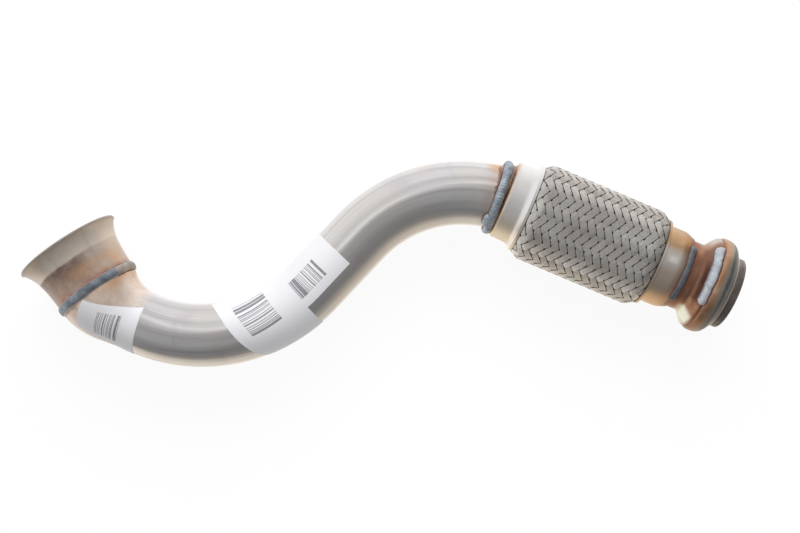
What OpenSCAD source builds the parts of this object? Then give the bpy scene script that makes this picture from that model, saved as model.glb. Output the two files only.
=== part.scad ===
// Exhaust front pipe with a braided flexible coupling.
// The flexible coupling lies along X with the outlet at the origin, facing +X.
// The pipe is one mandrel-bent tube: arch, straight, belly and inlet elbow, all in one plane.
// Every length is in millimetres.

/* [Pipe] */
// Outer radius of the bent tube
pipe_r = 25; // [22:0.5:30]
// Wall of the bent tube
pipe_wall = 1.5; // [1.2:0.1:2.5]
// Bend radius of the arch next to the flexible coupling
arch_bend_r = 108.3; // [90:0.5:130]
// Angle of the arch
arch_angle = 69.6; // [60:0.2:80]
// Straight length between arch and belly
straight_len = 55.2; // [40:0.5:80]
// Bend radius of the belly
belly_bend_r = 117.4; // [95:0.5:140]
// Angle of the belly
belly_angle = 82; // [70:0.2:90]
// Bend radius of the tighter elbow at the inlet
elbow_bend_r = 53; // [45:0.5:80]
// Angle of the inlet elbow
elbow_angle = 19.8; // [12:0.2:24]
// Length of tube that widens towards the inlet weld
mouth_len = 37; // [25:0.5:50]
// How much the tube's outer radius grows along that length
mouth_growth = 7.4; // [5:0.1:9]

/* [Inlet cup] */
// Length of the cup from the weld to its rim
cup_len = 42; // [36:0.5:50]
// Wall of the cup
cup_wall = 1.6; // [1.2:0.1:2.5]
// Length of the cup's straight bore behind the weld
cup_bore_len = 7; // [4:0.5:10]
// Growth of the radius by the cup's gentle taper
cup_taper = 1.4; // [1:0.1:5]
// Further growth of the radius by the flared lip
cup_lip_flare = 7.5; // [4:0.1:8]
// Thickness of the rim's rolled edge
cup_rim_t = 2.6; // [2:0.1:3.5]

/* [Flexible coupling] */
// Visible length of the braid between its two lips
braid_len = 103.5; // [90:0.5:120]
// Outer radius of the braid in its middle
braid_r = 39; // [37:0.1:42]
// Outer radius of the braid where it leaves a lip
braid_end_r = 35.1; // [34:0.1:36]
// Length over which the braid swells from a lip to its full radius
braid_swell_len = 8; // [6:0.5:12]
// Thickness of the braid
braid_t = 2.4; // [2:0.1:3]
// Depth of the seams between the braid's plaits
braid_seam = 0.95; // [0.6:0.05:1.2]
// Plaits that run each way round the braid
braid_plaits = 22; // [16:2:32]
// Repeats of the weave along the braid
braid_repeats = 15; // [12:1:18]
// Length of braid gripped under each lip
braid_tuck = 1; // [0.8:0.1:1.2]
// Outer radius of a bellows crest
bellows_crest_r = 35.6; // [34:0.1:36]
// Outer radius of the bellows at its roots and cuffs
bellows_root_r = 29.4; // [29:0.1:30]
// Wall of the bellows, both plies together
bellows_wall = 0.6; // [0.4:0.05:0.8]
// Convolutions of the bellows
bellows_count = 12; // [8:1:14]
// Length of the convoluted stretch of the bellows
bellows_len = 80; // [70:0.5:84]
// Length of each straight cuff with its run-out
cuff_len = 16; // [14:0.5:18]
// Outer radius of the interlocked liner
liner_r = 27; // [26.8:0.05:27.1]
// Wall of the interlocked liner with its folds
liner_wall = 1.8; // [1.4:0.1:2]
// Width of one turn of the interlocked strip
liner_turn = 6; // [4:0.5:8]

/* [Collars] */
// Outer radius of both collar lips
lip_r = 34.9; // [34.5:0.1:35.5]
// Width of a collar lip
lip_w = 2.4; // [2:0.1:3.5]
// Wall of the collars
collar_wall = 1.1; // [0.8:0.1:1.3]
// Length of the front collar
front_collar_len = 22.6; // [20:0.2:28]
// Outer radius of the front collar beside its lip
front_mouth_r = 33.9; // [33:0.1:34.5]
// Length over which the front collar narrows from its lip to its barrel
front_flare_len = 5; // [3:0.5:8]
// Outer radius of the front collar's barrel behind the flare
front_barrel_r = 31.2; // [30.8:0.1:32]
// Outer radius of the front collar at its shoulder
front_shoulder_r = 30.6; // [29:0.1:31]
// Length of the front collar's neck on the pipe
front_neck_len = 3.5; // [3:0.1:6]
// Length of pipe inside the front collar
pipe_insert = 11.7; // [10:0.1:16]
// Length of the rear collar
rear_collar_len = 24; // [22:0.2:30]
// Outer radius of the rear collar's barrel
rear_barrel_r = 31.3; // [31.1:0.1:32]
// Length of the rear collar's shoulder
rear_shoulder_len = 9; // [6:0.5:12]
// Length of the rear collar's neck on the outlet tube
rear_neck_len = 0.5; // [0.5:0.1:2]

/* [Outlet] */
// Outer radius of the outlet tube
outlet_tube_r = 27.4; // [27:0.1:27.8]
// Wall of the outlet tube
outlet_tube_wall = 1.5; // [1.2:0.1:2]
// Length from the rear collar to the start of the bell
outlet_neck_len = 8.8; // [8:0.1:14]
// Length of the bell that carries the flange
bell_len = 10.9; // [9:0.1:13]
// Outer radius of the bell's mouth
bell_r = 36.6; // [35.5:0.1:37]
// Outer radius of the flange
flange_r = 38.3; // [37.5:0.1:40]
// Outer radius of the flange's rear edge
flange_edge_r = 36.9; // [36.8:0.1:38]
// Length of the flange without its nose
flange_len = 16.6; // [15:0.2:22]
// Radius of the flange's bore
outlet_bore_r = 25.5; // [24:0.1:25.7]
// Wall of the flange
flange_wall = 3.2; // [2.8:0.1:4]
// Length of the nose in front of the flange
nose_len = 6.5; // [3.5:0.1:8]
// Outer radius of the seal ring on the nose
seal_r = 28.3; // [28:0.1:29]

/* [Welds] */
// Width of the inlet and front weld beads
bead_w = 6.6; // [4:0.1:8]
// Height of the inlet weld bead
inlet_bead_h = 1.7; // [1.2:0.1:3]
// Height of the front weld bead over the pipe
front_bead_h = 4.8; // [3:0.1:5.5]
// Width of the lump where a bead was started again
restart_w = 8; // [6:0.1:9]
// Arc of that lump
restart_arc = 26; // [16:1:36]
// Width of the rear weld bead
rear_bead_w = 5.2; // [4:0.1:6]
// Height of the rear weld bead over the outlet tube
rear_bead_h = 3.4; // [3:0.1:4]
// Arc of one stitch at the outlet tube
rear_stitch_arc = 100; // [70:1:130]
// Height of the flange weld bead over the line between its two edges
flange_bead_h = 2.9; // [2:0.1:3.5]
// Arc of one stitch at the flange
flange_stitch_arc = 82; // [60:1:110]

/* [Labels] */
// Thickness of the paper labels
label_t = 0.15; // [0.1:0.05:0.3]
// Distance of the inlet label from the inlet weld
inlet_label_gap = 4; // [3:0.5:10]
// Length of the inlet label along the pipe
inlet_label_len = 39; // [30:1:45]
// Length of pipe from its end in the front collar to the upper label
upper_label_place = 152; // [130:1:170]
// Length of the upper label along the pipe
upper_label_len = 45.5; // [40:0.5:50]
// Length of the lower label along the pipe
lower_label_len = 52; // [40:1:60]

/* [Rest] */
// Turn about the coupling's axis that brings the rim and the flange onto the ground
rest_roll = 0.09; // [-2:0.01:2]
// Tilt of the coupling's axis as the pipe lies on the ground
rest_pitch = 0.43; // [-2:0.01:2]

/* [Hidden] */

$fn = 96;
// Overrun of a cut past the face that it opens
overrun = 1;
// Gap between pieces that are seated in each other
seat_gap = 0.15;
// Gap between pieces of the two bodies that the coupling joins
flex_gap = 0.3;
// Room round the pipe in the front collar's neck, because its arch starts inside the collar
neck_gap = 0.8;
// Gap between a paper label and the pipe
label_gap = 0.12;
// Gap between a weld bead and what it is laid on
bead_gap = 0.03;
// Gap between the front bead's foot and the pipe, because the pipe bends under the bead, which leans on it
front_foot_gap = 0.3;
// Steps across a bead's arched section
bead_steps = 10;
// Sink, size and overlap of the domed ends of a bead
dome_sink = 0.1;
dome_share = 0.97;
dome_overlap = 10;
// Reach of the widening mouth into the bent tube's wall, and its inset there
mouth_reach = 2;
mouth_inset = 0.15;

// Places along the coupling's axis, from the outlet back
flange_front_x = -nose_len;
flange_rear_x = flange_front_x - flange_len;
bell_rear_x = flange_rear_x - bell_len;
rear_collar_end_x = bell_rear_x - outlet_neck_len;
rear_lip_x = rear_collar_end_x - rear_collar_len;
flex_mid_x = rear_lip_x - braid_len / 2;
front_lip_x = rear_lip_x - braid_len;
front_collar_end_x = front_lip_x - front_collar_len;
pipe_end_x = front_collar_end_x + pipe_insert;

// Lengths along the pipe's middle line, counted from its end in the front collar
arch_len = arch_bend_r * arch_angle * PI / 180;
belly_start = arch_len + straight_len;
belly_len = belly_bend_r * belly_angle * PI / 180;
elbow_start = belly_start + belly_len;
elbow_len = elbow_bend_r * elbow_angle * PI / 180;
path_len = elbow_start + elbow_len;

mouth_start = path_len - mouth_len;
plain_belly_angle = belly_angle * (mouth_start - belly_start) / belly_len;
mouth_r = pipe_r + mouth_growth;
upper_label_end = upper_label_place + upper_label_len;

// Place of the inlet bead's middle, on the cup's side of the joint
inlet_bead_shift = 1.8;
// The restarts' middles round the inlet and front beads
inlet_restart_angle = -42;
front_restart_angle = 58;

// The front bead laps over the collar's end, and leans half as far as the pipe has turned there
front_bead_lap = 0.4;
front_bead_place = pipe_insert + bead_w / 2 - front_bead_lap;
front_bead_angle = front_bead_place / arch_bend_r * 180 / PI;
// Place of the collar's cut end in the bead's frame
collar_end_place = front_bead_lap - bead_w / 2;

front_bead_foot_r = pipe_r + front_foot_gap;

// The front collar behind its lip, and its neck
flare_front_x = front_lip_x - lip_w;
shoulder_x = front_collar_end_x + front_neck_len;
front_neck_r = pipe_r + neck_gap + collar_wall;

// The rear collar's neck and shoulder
rear_neck_r = outlet_tube_r + seat_gap + collar_wall;
rear_neck_x = rear_collar_end_x - rear_neck_len;
// Reach of the outlet tube past the neck, into the collar's shoulder
tube_insert = 2;

// The inner rings: reach under a bellows cuff, and the rim's thickness and place behind the cuff
ring_reach = 6;
ring_rim_t = 1.2;
ring_rim_gap = 0.8;
cuff_in_r = bellows_root_r - bellows_wall;
bellows_end = bellows_len / 2 + cuff_len;
// Length of pipe inside the liner
liner_slip = 3.85;

// The braid between the collars, and where it is tucked under their lips
braid_front_x = front_lip_x + flex_gap;
braid_rear_x = rear_lip_x - flex_gap;
braid_tuck_r = lip_r - collar_wall - flex_gap;
braid_tuck_t = 1.3;
// Turn of the weave about the coupling's axis
braid_turn_angle = -9.4;

// The flange's nose under the seal ring
nose_r = outlet_bore_r + (seal_r - outlet_bore_r) / 2;
seal_chamfer = 0.6;

// Moves on by a straight run and keeps the heading
module after_straight(len) {
    translate([len, 0, 0]) children();
}

// Moves on by a bend in the XY plane. side is 1 for a left turn and -1 for a right turn
module after_bend(bend_r, angle, side) {
    translate([0, side * bend_r, 0])
        rotate([0, 0, side * angle])
            translate([0, -side * bend_r, 0])
                children();
}

// The place and heading of a piece that starts at the pipe's end in the front collar and runs on from there
module at_pipe_end() {
    translate([pipe_end_x, 0, 0]) rotate([0, 0, 180]) children();
}

module at_inlet() {
    at_pipe_end()
        after_bend(arch_bend_r, arch_angle, 1)
            after_straight(straight_len)
                after_bend(belly_bend_r, belly_angle, -1)
                    after_bend(elbow_bend_r, elbow_angle, -1)
                        children();
}

// Turns a piece built along the coupling's axis into the pose in which the whole thing lies
module as_it_lies() {
    rotate([rest_roll, rest_pitch, 0]) children();
}

// A turned piece along +X from points [x, radius]
module turned(points) {
    rotate([0, 90, 0])
        rotate_extrude()
            polygon([for (p = points) [p[1], p[0]]]);
}

// A shell of revolution: outer points from front to back, and inner points from front to back
module turned_shell(outer, inner) {
    turned(concat(outer, [for (i = [len(inner) - 1:-1:0]) inner[i]]));
}

module straight_tube(len) {
    rotate([0, 90, 0])
        difference() {
            cylinder(r = pipe_r, h = len);
            translate([0, 0, -overrun]) cylinder(r = pipe_r - pipe_wall, h = len + 2 * overrun);
        }
}

// A bent tube that starts at the origin along +X and turns left for side 1 or right for side -1
module bent_tube(bend_r, angle, side) {
    mirror([0, side > 0 ? 0 : 1, 0])
        translate([0, bend_r, 0])
            rotate([0, 0, -90])
                rotate_extrude(angle = angle)
                    translate([bend_r, 0])
                        difference() {
                            circle(r = pipe_r);
                            circle(r = pipe_r - pipe_wall);
                        }
}

// The middle line as a function: [x, y, heading] at a length along it, in the frame of the pipe's end
function bend_on(from, bend_r, angle, side) = let(
    h = from[2] + side * angle
) [
    from[0] + side * bend_r * (sin(h) - sin(from[2])),
    from[1] - side * bend_r * (cos(h) - cos(from[2])),
    h
];
function straight_on(from, len) = [from[0] + len * cos(from[2]), from[1] + len * sin(from[2]), from[2]];
arch_end = bend_on([0, 0, 0], arch_bend_r, arch_angle, 1);
straight_end = straight_on(arch_end, straight_len);
belly_end = bend_on(straight_end, belly_bend_r, belly_angle, -1);
function path_at(t) =
    t < arch_len ? bend_on([0, 0, 0], arch_bend_r, arch_angle * t / arch_len, 1)
    : t < belly_start ? straight_on(arch_end, t - arch_len)
    : t < elbow_start ? bend_on(straight_end, belly_bend_r, belly_angle * (t - belly_start) / belly_len, -1)
    : bend_on(belly_end, elbow_bend_r, elbow_angle * (t - elbow_start) / elbow_len, -1);

// The tube's outer radius at a length along it. It widens smoothly towards the inlet
function smooth_step(share) = share * share * (3 - 2 * share);
function tube_r(t) = pipe_r + mouth_growth * smooth_step(max(0, t - mouth_start) / mouth_len);

// A point at a radius round the middle line. around is 0 on top, 90 on the left of the heading
function path_point(t, r, around) = let(
    p = path_at(t),
    side = r * sin(around)
) [p[0] - side * sin(p[2]), p[1] + side * cos(p[2]), r * cos(around)];

// Faces between two rings of points, seen from outside. from_a and from_b are the rings' first points,
// n the points in a ring and last the number of steps, n for a closed ring and n - 1 for an open one
function band(from_a, from_b, n, last) = [
    for (k = [0:last - 1]) let(m = (k + 1) % n)
        each [[from_a + k, from_a + m, from_b + m], [from_a + k, from_b + m, from_b + k]]
];

// The tube's widening mouth, swept along the middle line. Its first ring lies inside the bent tube's wall
module swept_mouth(rings, sides) {
    places = concat(
        [mouth_start - mouth_reach],
        [for (i = [1:rings]) mouth_start + mouth_len * i / rings]
    );
    ring_depths = function (t) t < mouth_start ? [mouth_inset, pipe_wall - mouth_inset] : [0, pipe_wall];
    points = [
        for (side = [0, 1])
            for (t = places)
                for (k = [0:sides - 1]) path_point(t, tube_r(t) - ring_depths(t)[side], 360 * k / sides)
    ];
    inner = (rings + 1) * sides;
    polyhedron(points, concat(
        [for (i = [0:rings - 1]) each band(i * sides, (i + 1) * sides, sides, sides)],
        [for (i = [0:rings - 1]) each band(inner + (i + 1) * sides, inner + i * sides, sides, sides)],
        band(inner, 0, sides, sides),
        band(rings * sides, inner + rings * sides, sides, sides)
    ));
}

// A paper label wrapped round the tube between two lengths and two angles
module wrapped_label(t0, t1, around0, around1, rows, columns) {
    n = columns + 1;
    points = [
        for (height = [label_gap + label_t, label_gap])
            for (i = [0:rows]) let(t = t0 + (t1 - t0) * i / rows)
                for (k = [0:columns])
                    path_point(t, tube_r(t) + height, around0 + (around1 - around0) * k / columns)
    ];
    inner = (rows + 1) * n;
    polyhedron(points, concat(
        [for (i = [0:rows - 1]) each band(i * n, (i + 1) * n, n, columns)],
        [for (i = [0:rows - 1]) each band(inner + (i + 1) * n, inner + i * n, n, columns)],
        band(inner, 0, n, columns),
        band(rows * n, inner + rows * n, n, columns),
        [for (i = [0:rows - 1]) each [
            [i * n, (i + 1) * n, inner + (i + 1) * n], [i * n, inner + (i + 1) * n, inner + i * n],
            [(i + 1) * n + columns, i * n + columns, inner + i * n + columns],
            [(i + 1) * n + columns, inner + i * n + columns, inner + (i + 1) * n + columns]
        ]]
    ));
}

// The arched section of a weld bead: [height, place across the bead]
function arch(width, height, from, to) = [
    for (k = [from:to]) [height * sin(180 * k / bead_steps), -width / 2 * cos(180 * k / bead_steps)]
];

// A weld bead all round a cylinder about X. Its middle is at the origin
module bead_ring(surface_r, width, height) {
    rotate([0, 90, 0])
        rotate_extrude()
            translate([surface_r, 0]) polygon(arch(width, height, 0, bead_steps));
}

// A stitch of weld round a cylinder about X, with domed ends. mid_angle is 0 for a stitch centred on top,
// and a positive one turns it towards +Y
module bead_stitch(surface_r, width, height, arc, mid_angle) {
    rotate([90 - mid_angle, 0, 0])
        rotate([0, 90, 0])
            rotate([0, 0, 90 - arc / 2]) {
                rotate_extrude(angle = arc)
                    translate([surface_r, 0]) polygon(arch(width, height, 0, bead_steps));
                for (end = [0, 1])
                    rotate([0, 0, end * arc])
                        translate([surface_r - dome_sink, 0, 0])
                            rotate([0, 90, 0])
                                rotate([0, 0, 180 * (1 - end) - dome_overlap])
                                    bead_dome(width * dome_share, height * dome_share);
            }
}

// The domed end of a bead, a little more than half a dome
module bead_dome(width, height) {
    rotate_extrude(angle = 180 + 2 * dome_overlap)
        polygon(concat([[0, 0]], [
            for (p = arch(width, height, bead_steps / 2, bead_steps)) [p[1], p[0]]
        ]));
}

// A rod about X between two places
module rod(x0, x1, r) {
    translate([x0, 0, 0]) rotate([0, 90, 0]) cylinder(r = r, h = x1 - x0);
}

// The cup's outer radius at a share of its length, and the number of steps along it
function cup_r(share) = mouth_r + cup_taper * share + cup_lip_flare * pow(share, 4);
cup_steps = 16;

module inlet_cup() {
    steps = cup_steps;
    inner_r = mouth_r - cup_wall;
    shares = [for (i = [0:steps]) i / steps];
    rim_r = mouth_r + cup_taper + cup_lip_flare;
    bore_share = cup_bore_len / cup_len;
    color("rosybrown") as_it_lies() at_inlet() {
        turned_shell(
            [for (share = shares) [cup_len * share, cup_r(share)]],
            concat(
                [[0, inner_r], [cup_bore_len, inner_r]],
                [for (share = shares) if (share > bore_share + 1 / steps)
                    [cup_len * share, cup_r(share) - cup_wall]]
            )
        );
        translate([cup_len, 0, 0])
            rotate([0, 90, 0])
                rotate_extrude()
                    translate([rim_r - cup_wall / 2, 0]) circle(d = cup_rim_t, $fn = 24);
    }
}

// The bead is cut to the start of the cup
module inlet_weld() {
    cut_steps = 3;
    color("slategray") as_it_lies() at_inlet()
        difference() {
            translate([inlet_bead_shift, 0, 0]) {
                bead_ring(mouth_r, bead_w, inlet_bead_h);
                bead_stitch(mouth_r, restart_w, inlet_bead_h, restart_arc, inlet_restart_angle);
            }
            turned(concat(
                [[-bead_gap, 0], [-bead_gap, mouth_r + bead_gap]],
                [for (i = [1:cut_steps]) [cup_len * i / cup_steps, cup_r(i / cup_steps) + bead_gap]],
                [[cup_len * cut_steps / cup_steps, 0]]
            ));
        }
}

// The arch is drawn back from the straight's end, so that every joint is one plane
module bent_pipe() {
    mouth_rings = 9;
    mouth_sides = 48;
    color("lightgray") as_it_lies() at_pipe_end() {
        after_bend(arch_bend_r, arch_angle, 1) {
            mirror([1, 0, 0]) bent_tube(arch_bend_r, arch_angle, 1);
            straight_tube(straight_len);
            after_straight(straight_len) bent_tube(belly_bend_r, plain_belly_angle, -1);
        }
        swept_mouth(mouth_rings, mouth_sides);
    }
}

module inlet_label() {
    top_angle = -22;
    bottom_angle = 110;
    label_end = path_len - inlet_label_gap;
    color("white") as_it_lies() at_pipe_end()
        wrapped_label(label_end - inlet_label_len, label_end, top_angle, bottom_angle, 8, 22);
}

module upper_label() {
    top_angle = -100;
    bottom_angle = 20;
    color("white") as_it_lies() at_pipe_end()
        wrapped_label(upper_label_place, upper_label_end, top_angle, bottom_angle, 8, 20);
}

module lower_label() {
    top_angle = -100;
    bottom_angle = 100;
    color("white") as_it_lies() at_pipe_end()
        wrapped_label(upper_label_end, upper_label_end + lower_label_len, top_angle, bottom_angle, 9, 34);
}

// The plane through the front bead's middle, where a piece is built about X
module at_front_bead() {
    at_pipe_end()
        after_bend(arch_bend_r, front_bead_angle, 1)
            rotate([0, 0, -front_bead_angle / 2])
                children();
}

// The front bead's section: [radius, place along the axis]. It stands on the pipe, against the collar's end
function front_bead_section() = let(
    steps = 12,
    end_x = collar_end_place + bead_gap,
    end_angle = acos(-2 * end_x / bead_w)
) concat(
    [[front_bead_foot_r, end_x]],
    [for (k = [0:steps]) let(a = end_angle + (180 - end_angle) * k / steps)
        [front_bead_foot_r + (front_bead_h - front_foot_gap) * sin(a), -bead_w / 2 * cos(a)]]
);

// The restart's section stands a little off the pipe, on the inlet's side of the bead's middle
function front_restart_section() = let(shift = 1.4) [
    for (p = arch(restart_w, front_bead_h - front_foot_gap, 0, bead_steps))
        [front_bead_foot_r + dome_sink + p[0], shift + p[1]]
];

module front_weld() {
    color("slategray") as_it_lies() at_front_bead() {
        rotate([0, 90, 0]) rotate_extrude() polygon(front_bead_section());
        fitted_stitch(front_restart_section(), restart_arc, front_restart_angle);
    }
}

// The front collar's outline from its lip back past its neck, moved inwards by a depth
function front_collar_outline(depth) = let(
    flare_shares = [[0, 1], [0.25, 0.55], [0.5, 0.25], [0.75, 0.07], [1, 0]],
    shoulder_shares = [[0, 0], [0.22, 0.15], [0.45, 0.5], [0.67, 0.85], [0.9, 1]]
) concat(
    [
        [front_lip_x, lip_r - depth],
        [flare_front_x + depth, lip_r - depth]
    ],
    [for (p = flare_shares) [
        flare_front_x + depth - (front_flare_len + depth) * p[0],
        front_barrel_r + (front_mouth_r - front_barrel_r) * p[1] - depth
    ]],
    [for (p = shoulder_shares) [
        shoulder_x - front_neck_len * p[0],
        front_shoulder_r - (front_shoulder_r - front_neck_r) * p[1] - depth
    ]],
    [[front_collar_end_x - front_bead_lap - 2 * overrun, front_neck_r - depth]]
);

// The neck's end is cut along the bead
module front_collar() {
    color("gainsboro") as_it_lies()
        difference() {
            turned_shell(front_collar_outline(0), front_collar_outline(collar_wall));
            at_front_bead() rod(collar_end_place, bead_w, lip_r);
        }
}

// Steps of the rear collar's shoulder, and the one from which the rear bead starts
shoulder_steps = 6;
rear_bead_step = 4;

// The rear collar's outline from its lip to its neck, moved inwards by a depth
function rear_collar_outline(depth) = concat(
    [
        [rear_lip_x, lip_r - depth],
        [rear_lip_x + lip_w - depth / 2, lip_r - depth],
        [rear_lip_x + lip_w + collar_wall, rear_barrel_r - depth]
    ],
    [for (k = [0:shoulder_steps]) [
        rear_neck_x - rear_shoulder_len * (1 - k / shoulder_steps),
        rear_neck_r + (rear_barrel_r - rear_neck_r) * cos(90 * k / shoulder_steps) - depth
    ]],
    [[rear_collar_end_x, rear_neck_r - depth]]
);

module rear_collar() {
    color("tan") as_it_lies()
        turned_shell(rear_collar_outline(0), rear_collar_outline(collar_wall));
}

// A stepped ring that holds the bellows' cuff: a sleeve under the cuff and a rim behind it.
// side is -1 for the ring in front of the coupling's middle and 1 for the one behind it
module stepped_ring(side, gap, rim_r) {
    rim = bellows_end + ring_rim_gap;
    translate([flex_mid_x, 0, 0])
        mirror([side > 0 ? 0 : 1, 0, 0])
            turned([
                [bellows_end - ring_reach, liner_r + gap],
                [rim + ring_rim_t, liner_r + gap],
                [rim + ring_rim_t, rim_r],
                [rim, rim_r],
                [rim, cuff_in_r - gap],
                [bellows_end - ring_reach, cuff_in_r - gap]
            ]);
}

module front_inner_ring() {
    color("silver") as_it_lies() stepped_ring(-1, seat_gap, front_barrel_r - collar_wall - seat_gap);
}

module rear_inner_ring() {
    color("silver") as_it_lies() stepped_ring(1, flex_gap, rear_barrel_r - collar_wall - seat_gap);
}

// The interlocked strip liner, its turns drawn as rings: each turn hooks over the next
module liner() {
    front_x = pipe_end_x - liner_slip;
    rear_x = flex_mid_x + bellows_end + ring_reach;
    turns = floor((rear_x - front_x) / liner_turn);
    pitch = (rear_x - front_x) / turns;
    fold_share = 0.4;
    rise_share = 0.25;
    fall_share = 0.75;
    fold = liner_wall * fold_share;
    slope = fold / 2;
    inner_r = liner_r - liner_wall;
    outer = [for (i = [0:turns - 1]) let(x = front_x + i * pitch) each [
        [x, liner_r - (i == 0 ? 0 : fold)],
        [x + (i == 0 ? 0 : pitch * rise_share - slope), liner_r - (i == 0 ? 0 : fold)],
        [x + pitch * rise_share, liner_r],
        [x + pitch * fall_share, liner_r],
        [x + pitch * fall_share + slope, liner_r - fold]
    ]];
    inner = [for (i = [0:turns - 1]) let(x = front_x + i * pitch) each [
        [x + (i == 0 ? 0 : slope), inner_r],
        [x + pitch / 2, inner_r],
        [x + pitch / 2 + slope, inner_r + fold],
        [x + pitch - (i == turns - 1 ? 0 : slope), inner_r + fold]
    ]];
    color("darkgray") as_it_lies()
        turned_shell(concat(outer, [[rear_x, liner_r - fold]]), inner);
}

// The bellows: U-shaped convolutions between two straight cuffs
module bellows() {
    pitch = bellows_len / bellows_count;
    half = bellows_wall / 2;
    bow = pitch / 4;
    crest_r = bellows_crest_r - half;
    root_r = bellows_root_r - half;
    steps = 5;
    rise = [for (k = [0:steps]) 90 * k / steps];
    // The middle line with its normal: [x, radius, normal along x, normal outwards]
    wave = [for (i = [0:bellows_count - 1]) let(x = pitch * i - bellows_len / 2) each concat(
        [for (a = rise) [x + bow * sin(a), root_r + bow * (1 - cos(a)), -sin(a), cos(a)]],
        [for (a = rise) [x + pitch / 2 - bow * cos(a), crest_r - bow * (1 - sin(a)), -cos(a), sin(a)]],
        [for (a = rise) if (a > 0)
            [x + pitch / 2 + bow * sin(a), crest_r - bow * (1 - cos(a)), sin(a), cos(a)]],
        [for (a = rise) if (a < 90)
            [x + pitch - bow * cos(a), root_r + bow * (1 - sin(a)), cos(a), sin(a)]]
    )];
    shell = function (side, r) concat(
        [[-bellows_end, r]],
        [for (p = wave) [p[0] + side * half * p[2], p[1] + side * half * p[3]]],
        [[bellows_len / 2, r], [bellows_end, r]]
    );
    color("silver") as_it_lies()
        translate([flex_mid_x, 0, 0])
            turned_shell(shell(1, bellows_root_r), shell(-1, cuff_in_r));
}

// The braid: flat plaits that cross two over, two under. Its seams lie on a lattice of half repeats
function braid_radius(x) = let(
    share = min(1, min(x - braid_front_x, braid_rear_x - x) / braid_swell_len)
) braid_end_r + (braid_r - braid_end_r) * sin(90 * share);

// A point on a ring of the braid: j counts half plaits round it
function braid_point(x, r, j) = let(
    a = 180 * j / braid_plaits + braid_turn_angle
) [x, r * sin(a), r * cos(a)];

// A lattice point: i counts half repeats along the braid
function lattice(i, j, depth) = let(
    x = braid_front_x + (braid_rear_x - braid_front_x) * i / (2 * braid_repeats)
) braid_point(x, braid_radius(x) - depth, j);

// Seams are deep at the lattice's holes, shallower between plaits, and gone where a plait runs over the next
seam_share = 0.8;
function point_depth(i, j) = (i + j) % 2 == 0 ? braid_seam : 0;
function middle_depth(i, j) = j % 4 == ((i + j) % 2 == 0 ? 1 : 3) ? 0 : braid_seam * seam_share;

module braid() {
    n = 2 * braid_plaits;
    rows = 2 * braid_repeats;
    tuck_in_r = braid_tuck_r - braid_tuck_t;
    tuck_front_x = front_lip_x - braid_tuck;
    tuck_rear_x = rear_lip_x + braid_tuck;
    swell_shares = [0.35, 1];
    // Rings of the outer face under the lips, and of the plain inner face: [x, radius]
    edge_rings = [
        [tuck_front_x, braid_tuck_r], [braid_front_x, braid_tuck_r],
        [braid_rear_x, braid_tuck_r], [tuck_rear_x, braid_tuck_r]
    ];
    inner_ring = function (x) [x, braid_radius(x) - braid_t];
    inner_rings = concat(
        [[tuck_front_x, tuck_in_r], [braid_front_x, tuck_in_r]],
        [for (share = swell_shares) inner_ring(braid_front_x + braid_swell_len * share)],
        [for (share = [swell_shares[1], swell_shares[0]]) inner_ring(braid_rear_x - braid_swell_len * share)],
        [[braid_rear_x, tuck_in_r], [tuck_rear_x, tuck_in_r]]
    );
    middles = n * (rows + 1);
    edges = middles + n * rows;
    inner = edges + n * len(edge_rings);
    last = inner + n * (len(inner_rings) - 1);
    points = concat(
        [for (i = [0:rows]) for (j = [0:n - 1]) lattice(i, j, point_depth(i, j))],
        [for (i = [0:rows - 1]) for (j = [0:n - 1]) lattice(i + 0.5, j + 0.5, middle_depth(i, j))],
        [for (ring = concat(edge_rings, inner_rings)) for (j = [0:n - 1]) braid_point(ring[0], ring[1], j)]
    );
    at = function (i, j) i * n + (j + n) % n;
    mid = function (i, j) middles + i * n + (j + n) % n;
    // The eight facets round each crossing, or the four on its inner side at the ends of the braid
    crossings = [for (i = [0:rows]) for (j = [(i + 1) % 2:2:n - 1]) each concat(
        i < rows ? [
            [at(i, j), at(i, j + 1), mid(i, j)], [at(i, j), mid(i, j), at(i + 1, j)],
            [at(i, j), at(i + 1, j), mid(i, j - 1)], [at(i, j), mid(i, j - 1), at(i, j - 1)]
        ] : [],
        i > 0 ? [
            [at(i, j), at(i, j - 1), mid(i - 1, j - 1)], [at(i, j), mid(i - 1, j - 1), at(i - 1, j)],
            [at(i, j), at(i - 1, j), mid(i - 1, j)], [at(i, j), mid(i - 1, j), at(i, j + 1)]
        ] : []
    )];
    color("darkgray") as_it_lies()
        polyhedron(points, concat(
            crossings,
            band(edges, edges + n, n, n),
            band(edges + n, 0, n, n),
            band(rows * n, edges + 2 * n, n, n),
            band(edges + 2 * n, edges + 3 * n, n, n),
            band(edges + 3 * n, last, n, n),
            [for (m = [len(inner_rings) - 2:-1:0]) each band(inner + (m + 1) * n, inner + m * n, n, n)],
            band(inner, edges, n, n)
        ));
}

// Steps of the bell's curve, and the one from which the flange bead starts
bell_steps = 10;
flange_bead_step = 6;

// The outlet tube's outline from its front end to its bell's mouth, moved inwards by a depth
function outlet_tube_outline(depth) = let(
    curve_share = 0.92
) concat(
    [[rear_neck_x - tube_insert, outlet_tube_r - depth]],
    [for (k = [0:bell_steps]) [
        bell_rear_x + bell_len * curve_share * k / bell_steps,
        outlet_tube_r + (bell_r - outlet_tube_r) * smooth_step(k / bell_steps) - depth
    ]],
    [[flange_rear_x, bell_r - depth]]
);

module outlet_tube() {
    color("peru") as_it_lies()
        turned_shell(outlet_tube_outline(0), outlet_tube_outline(outlet_tube_wall));
}

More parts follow.
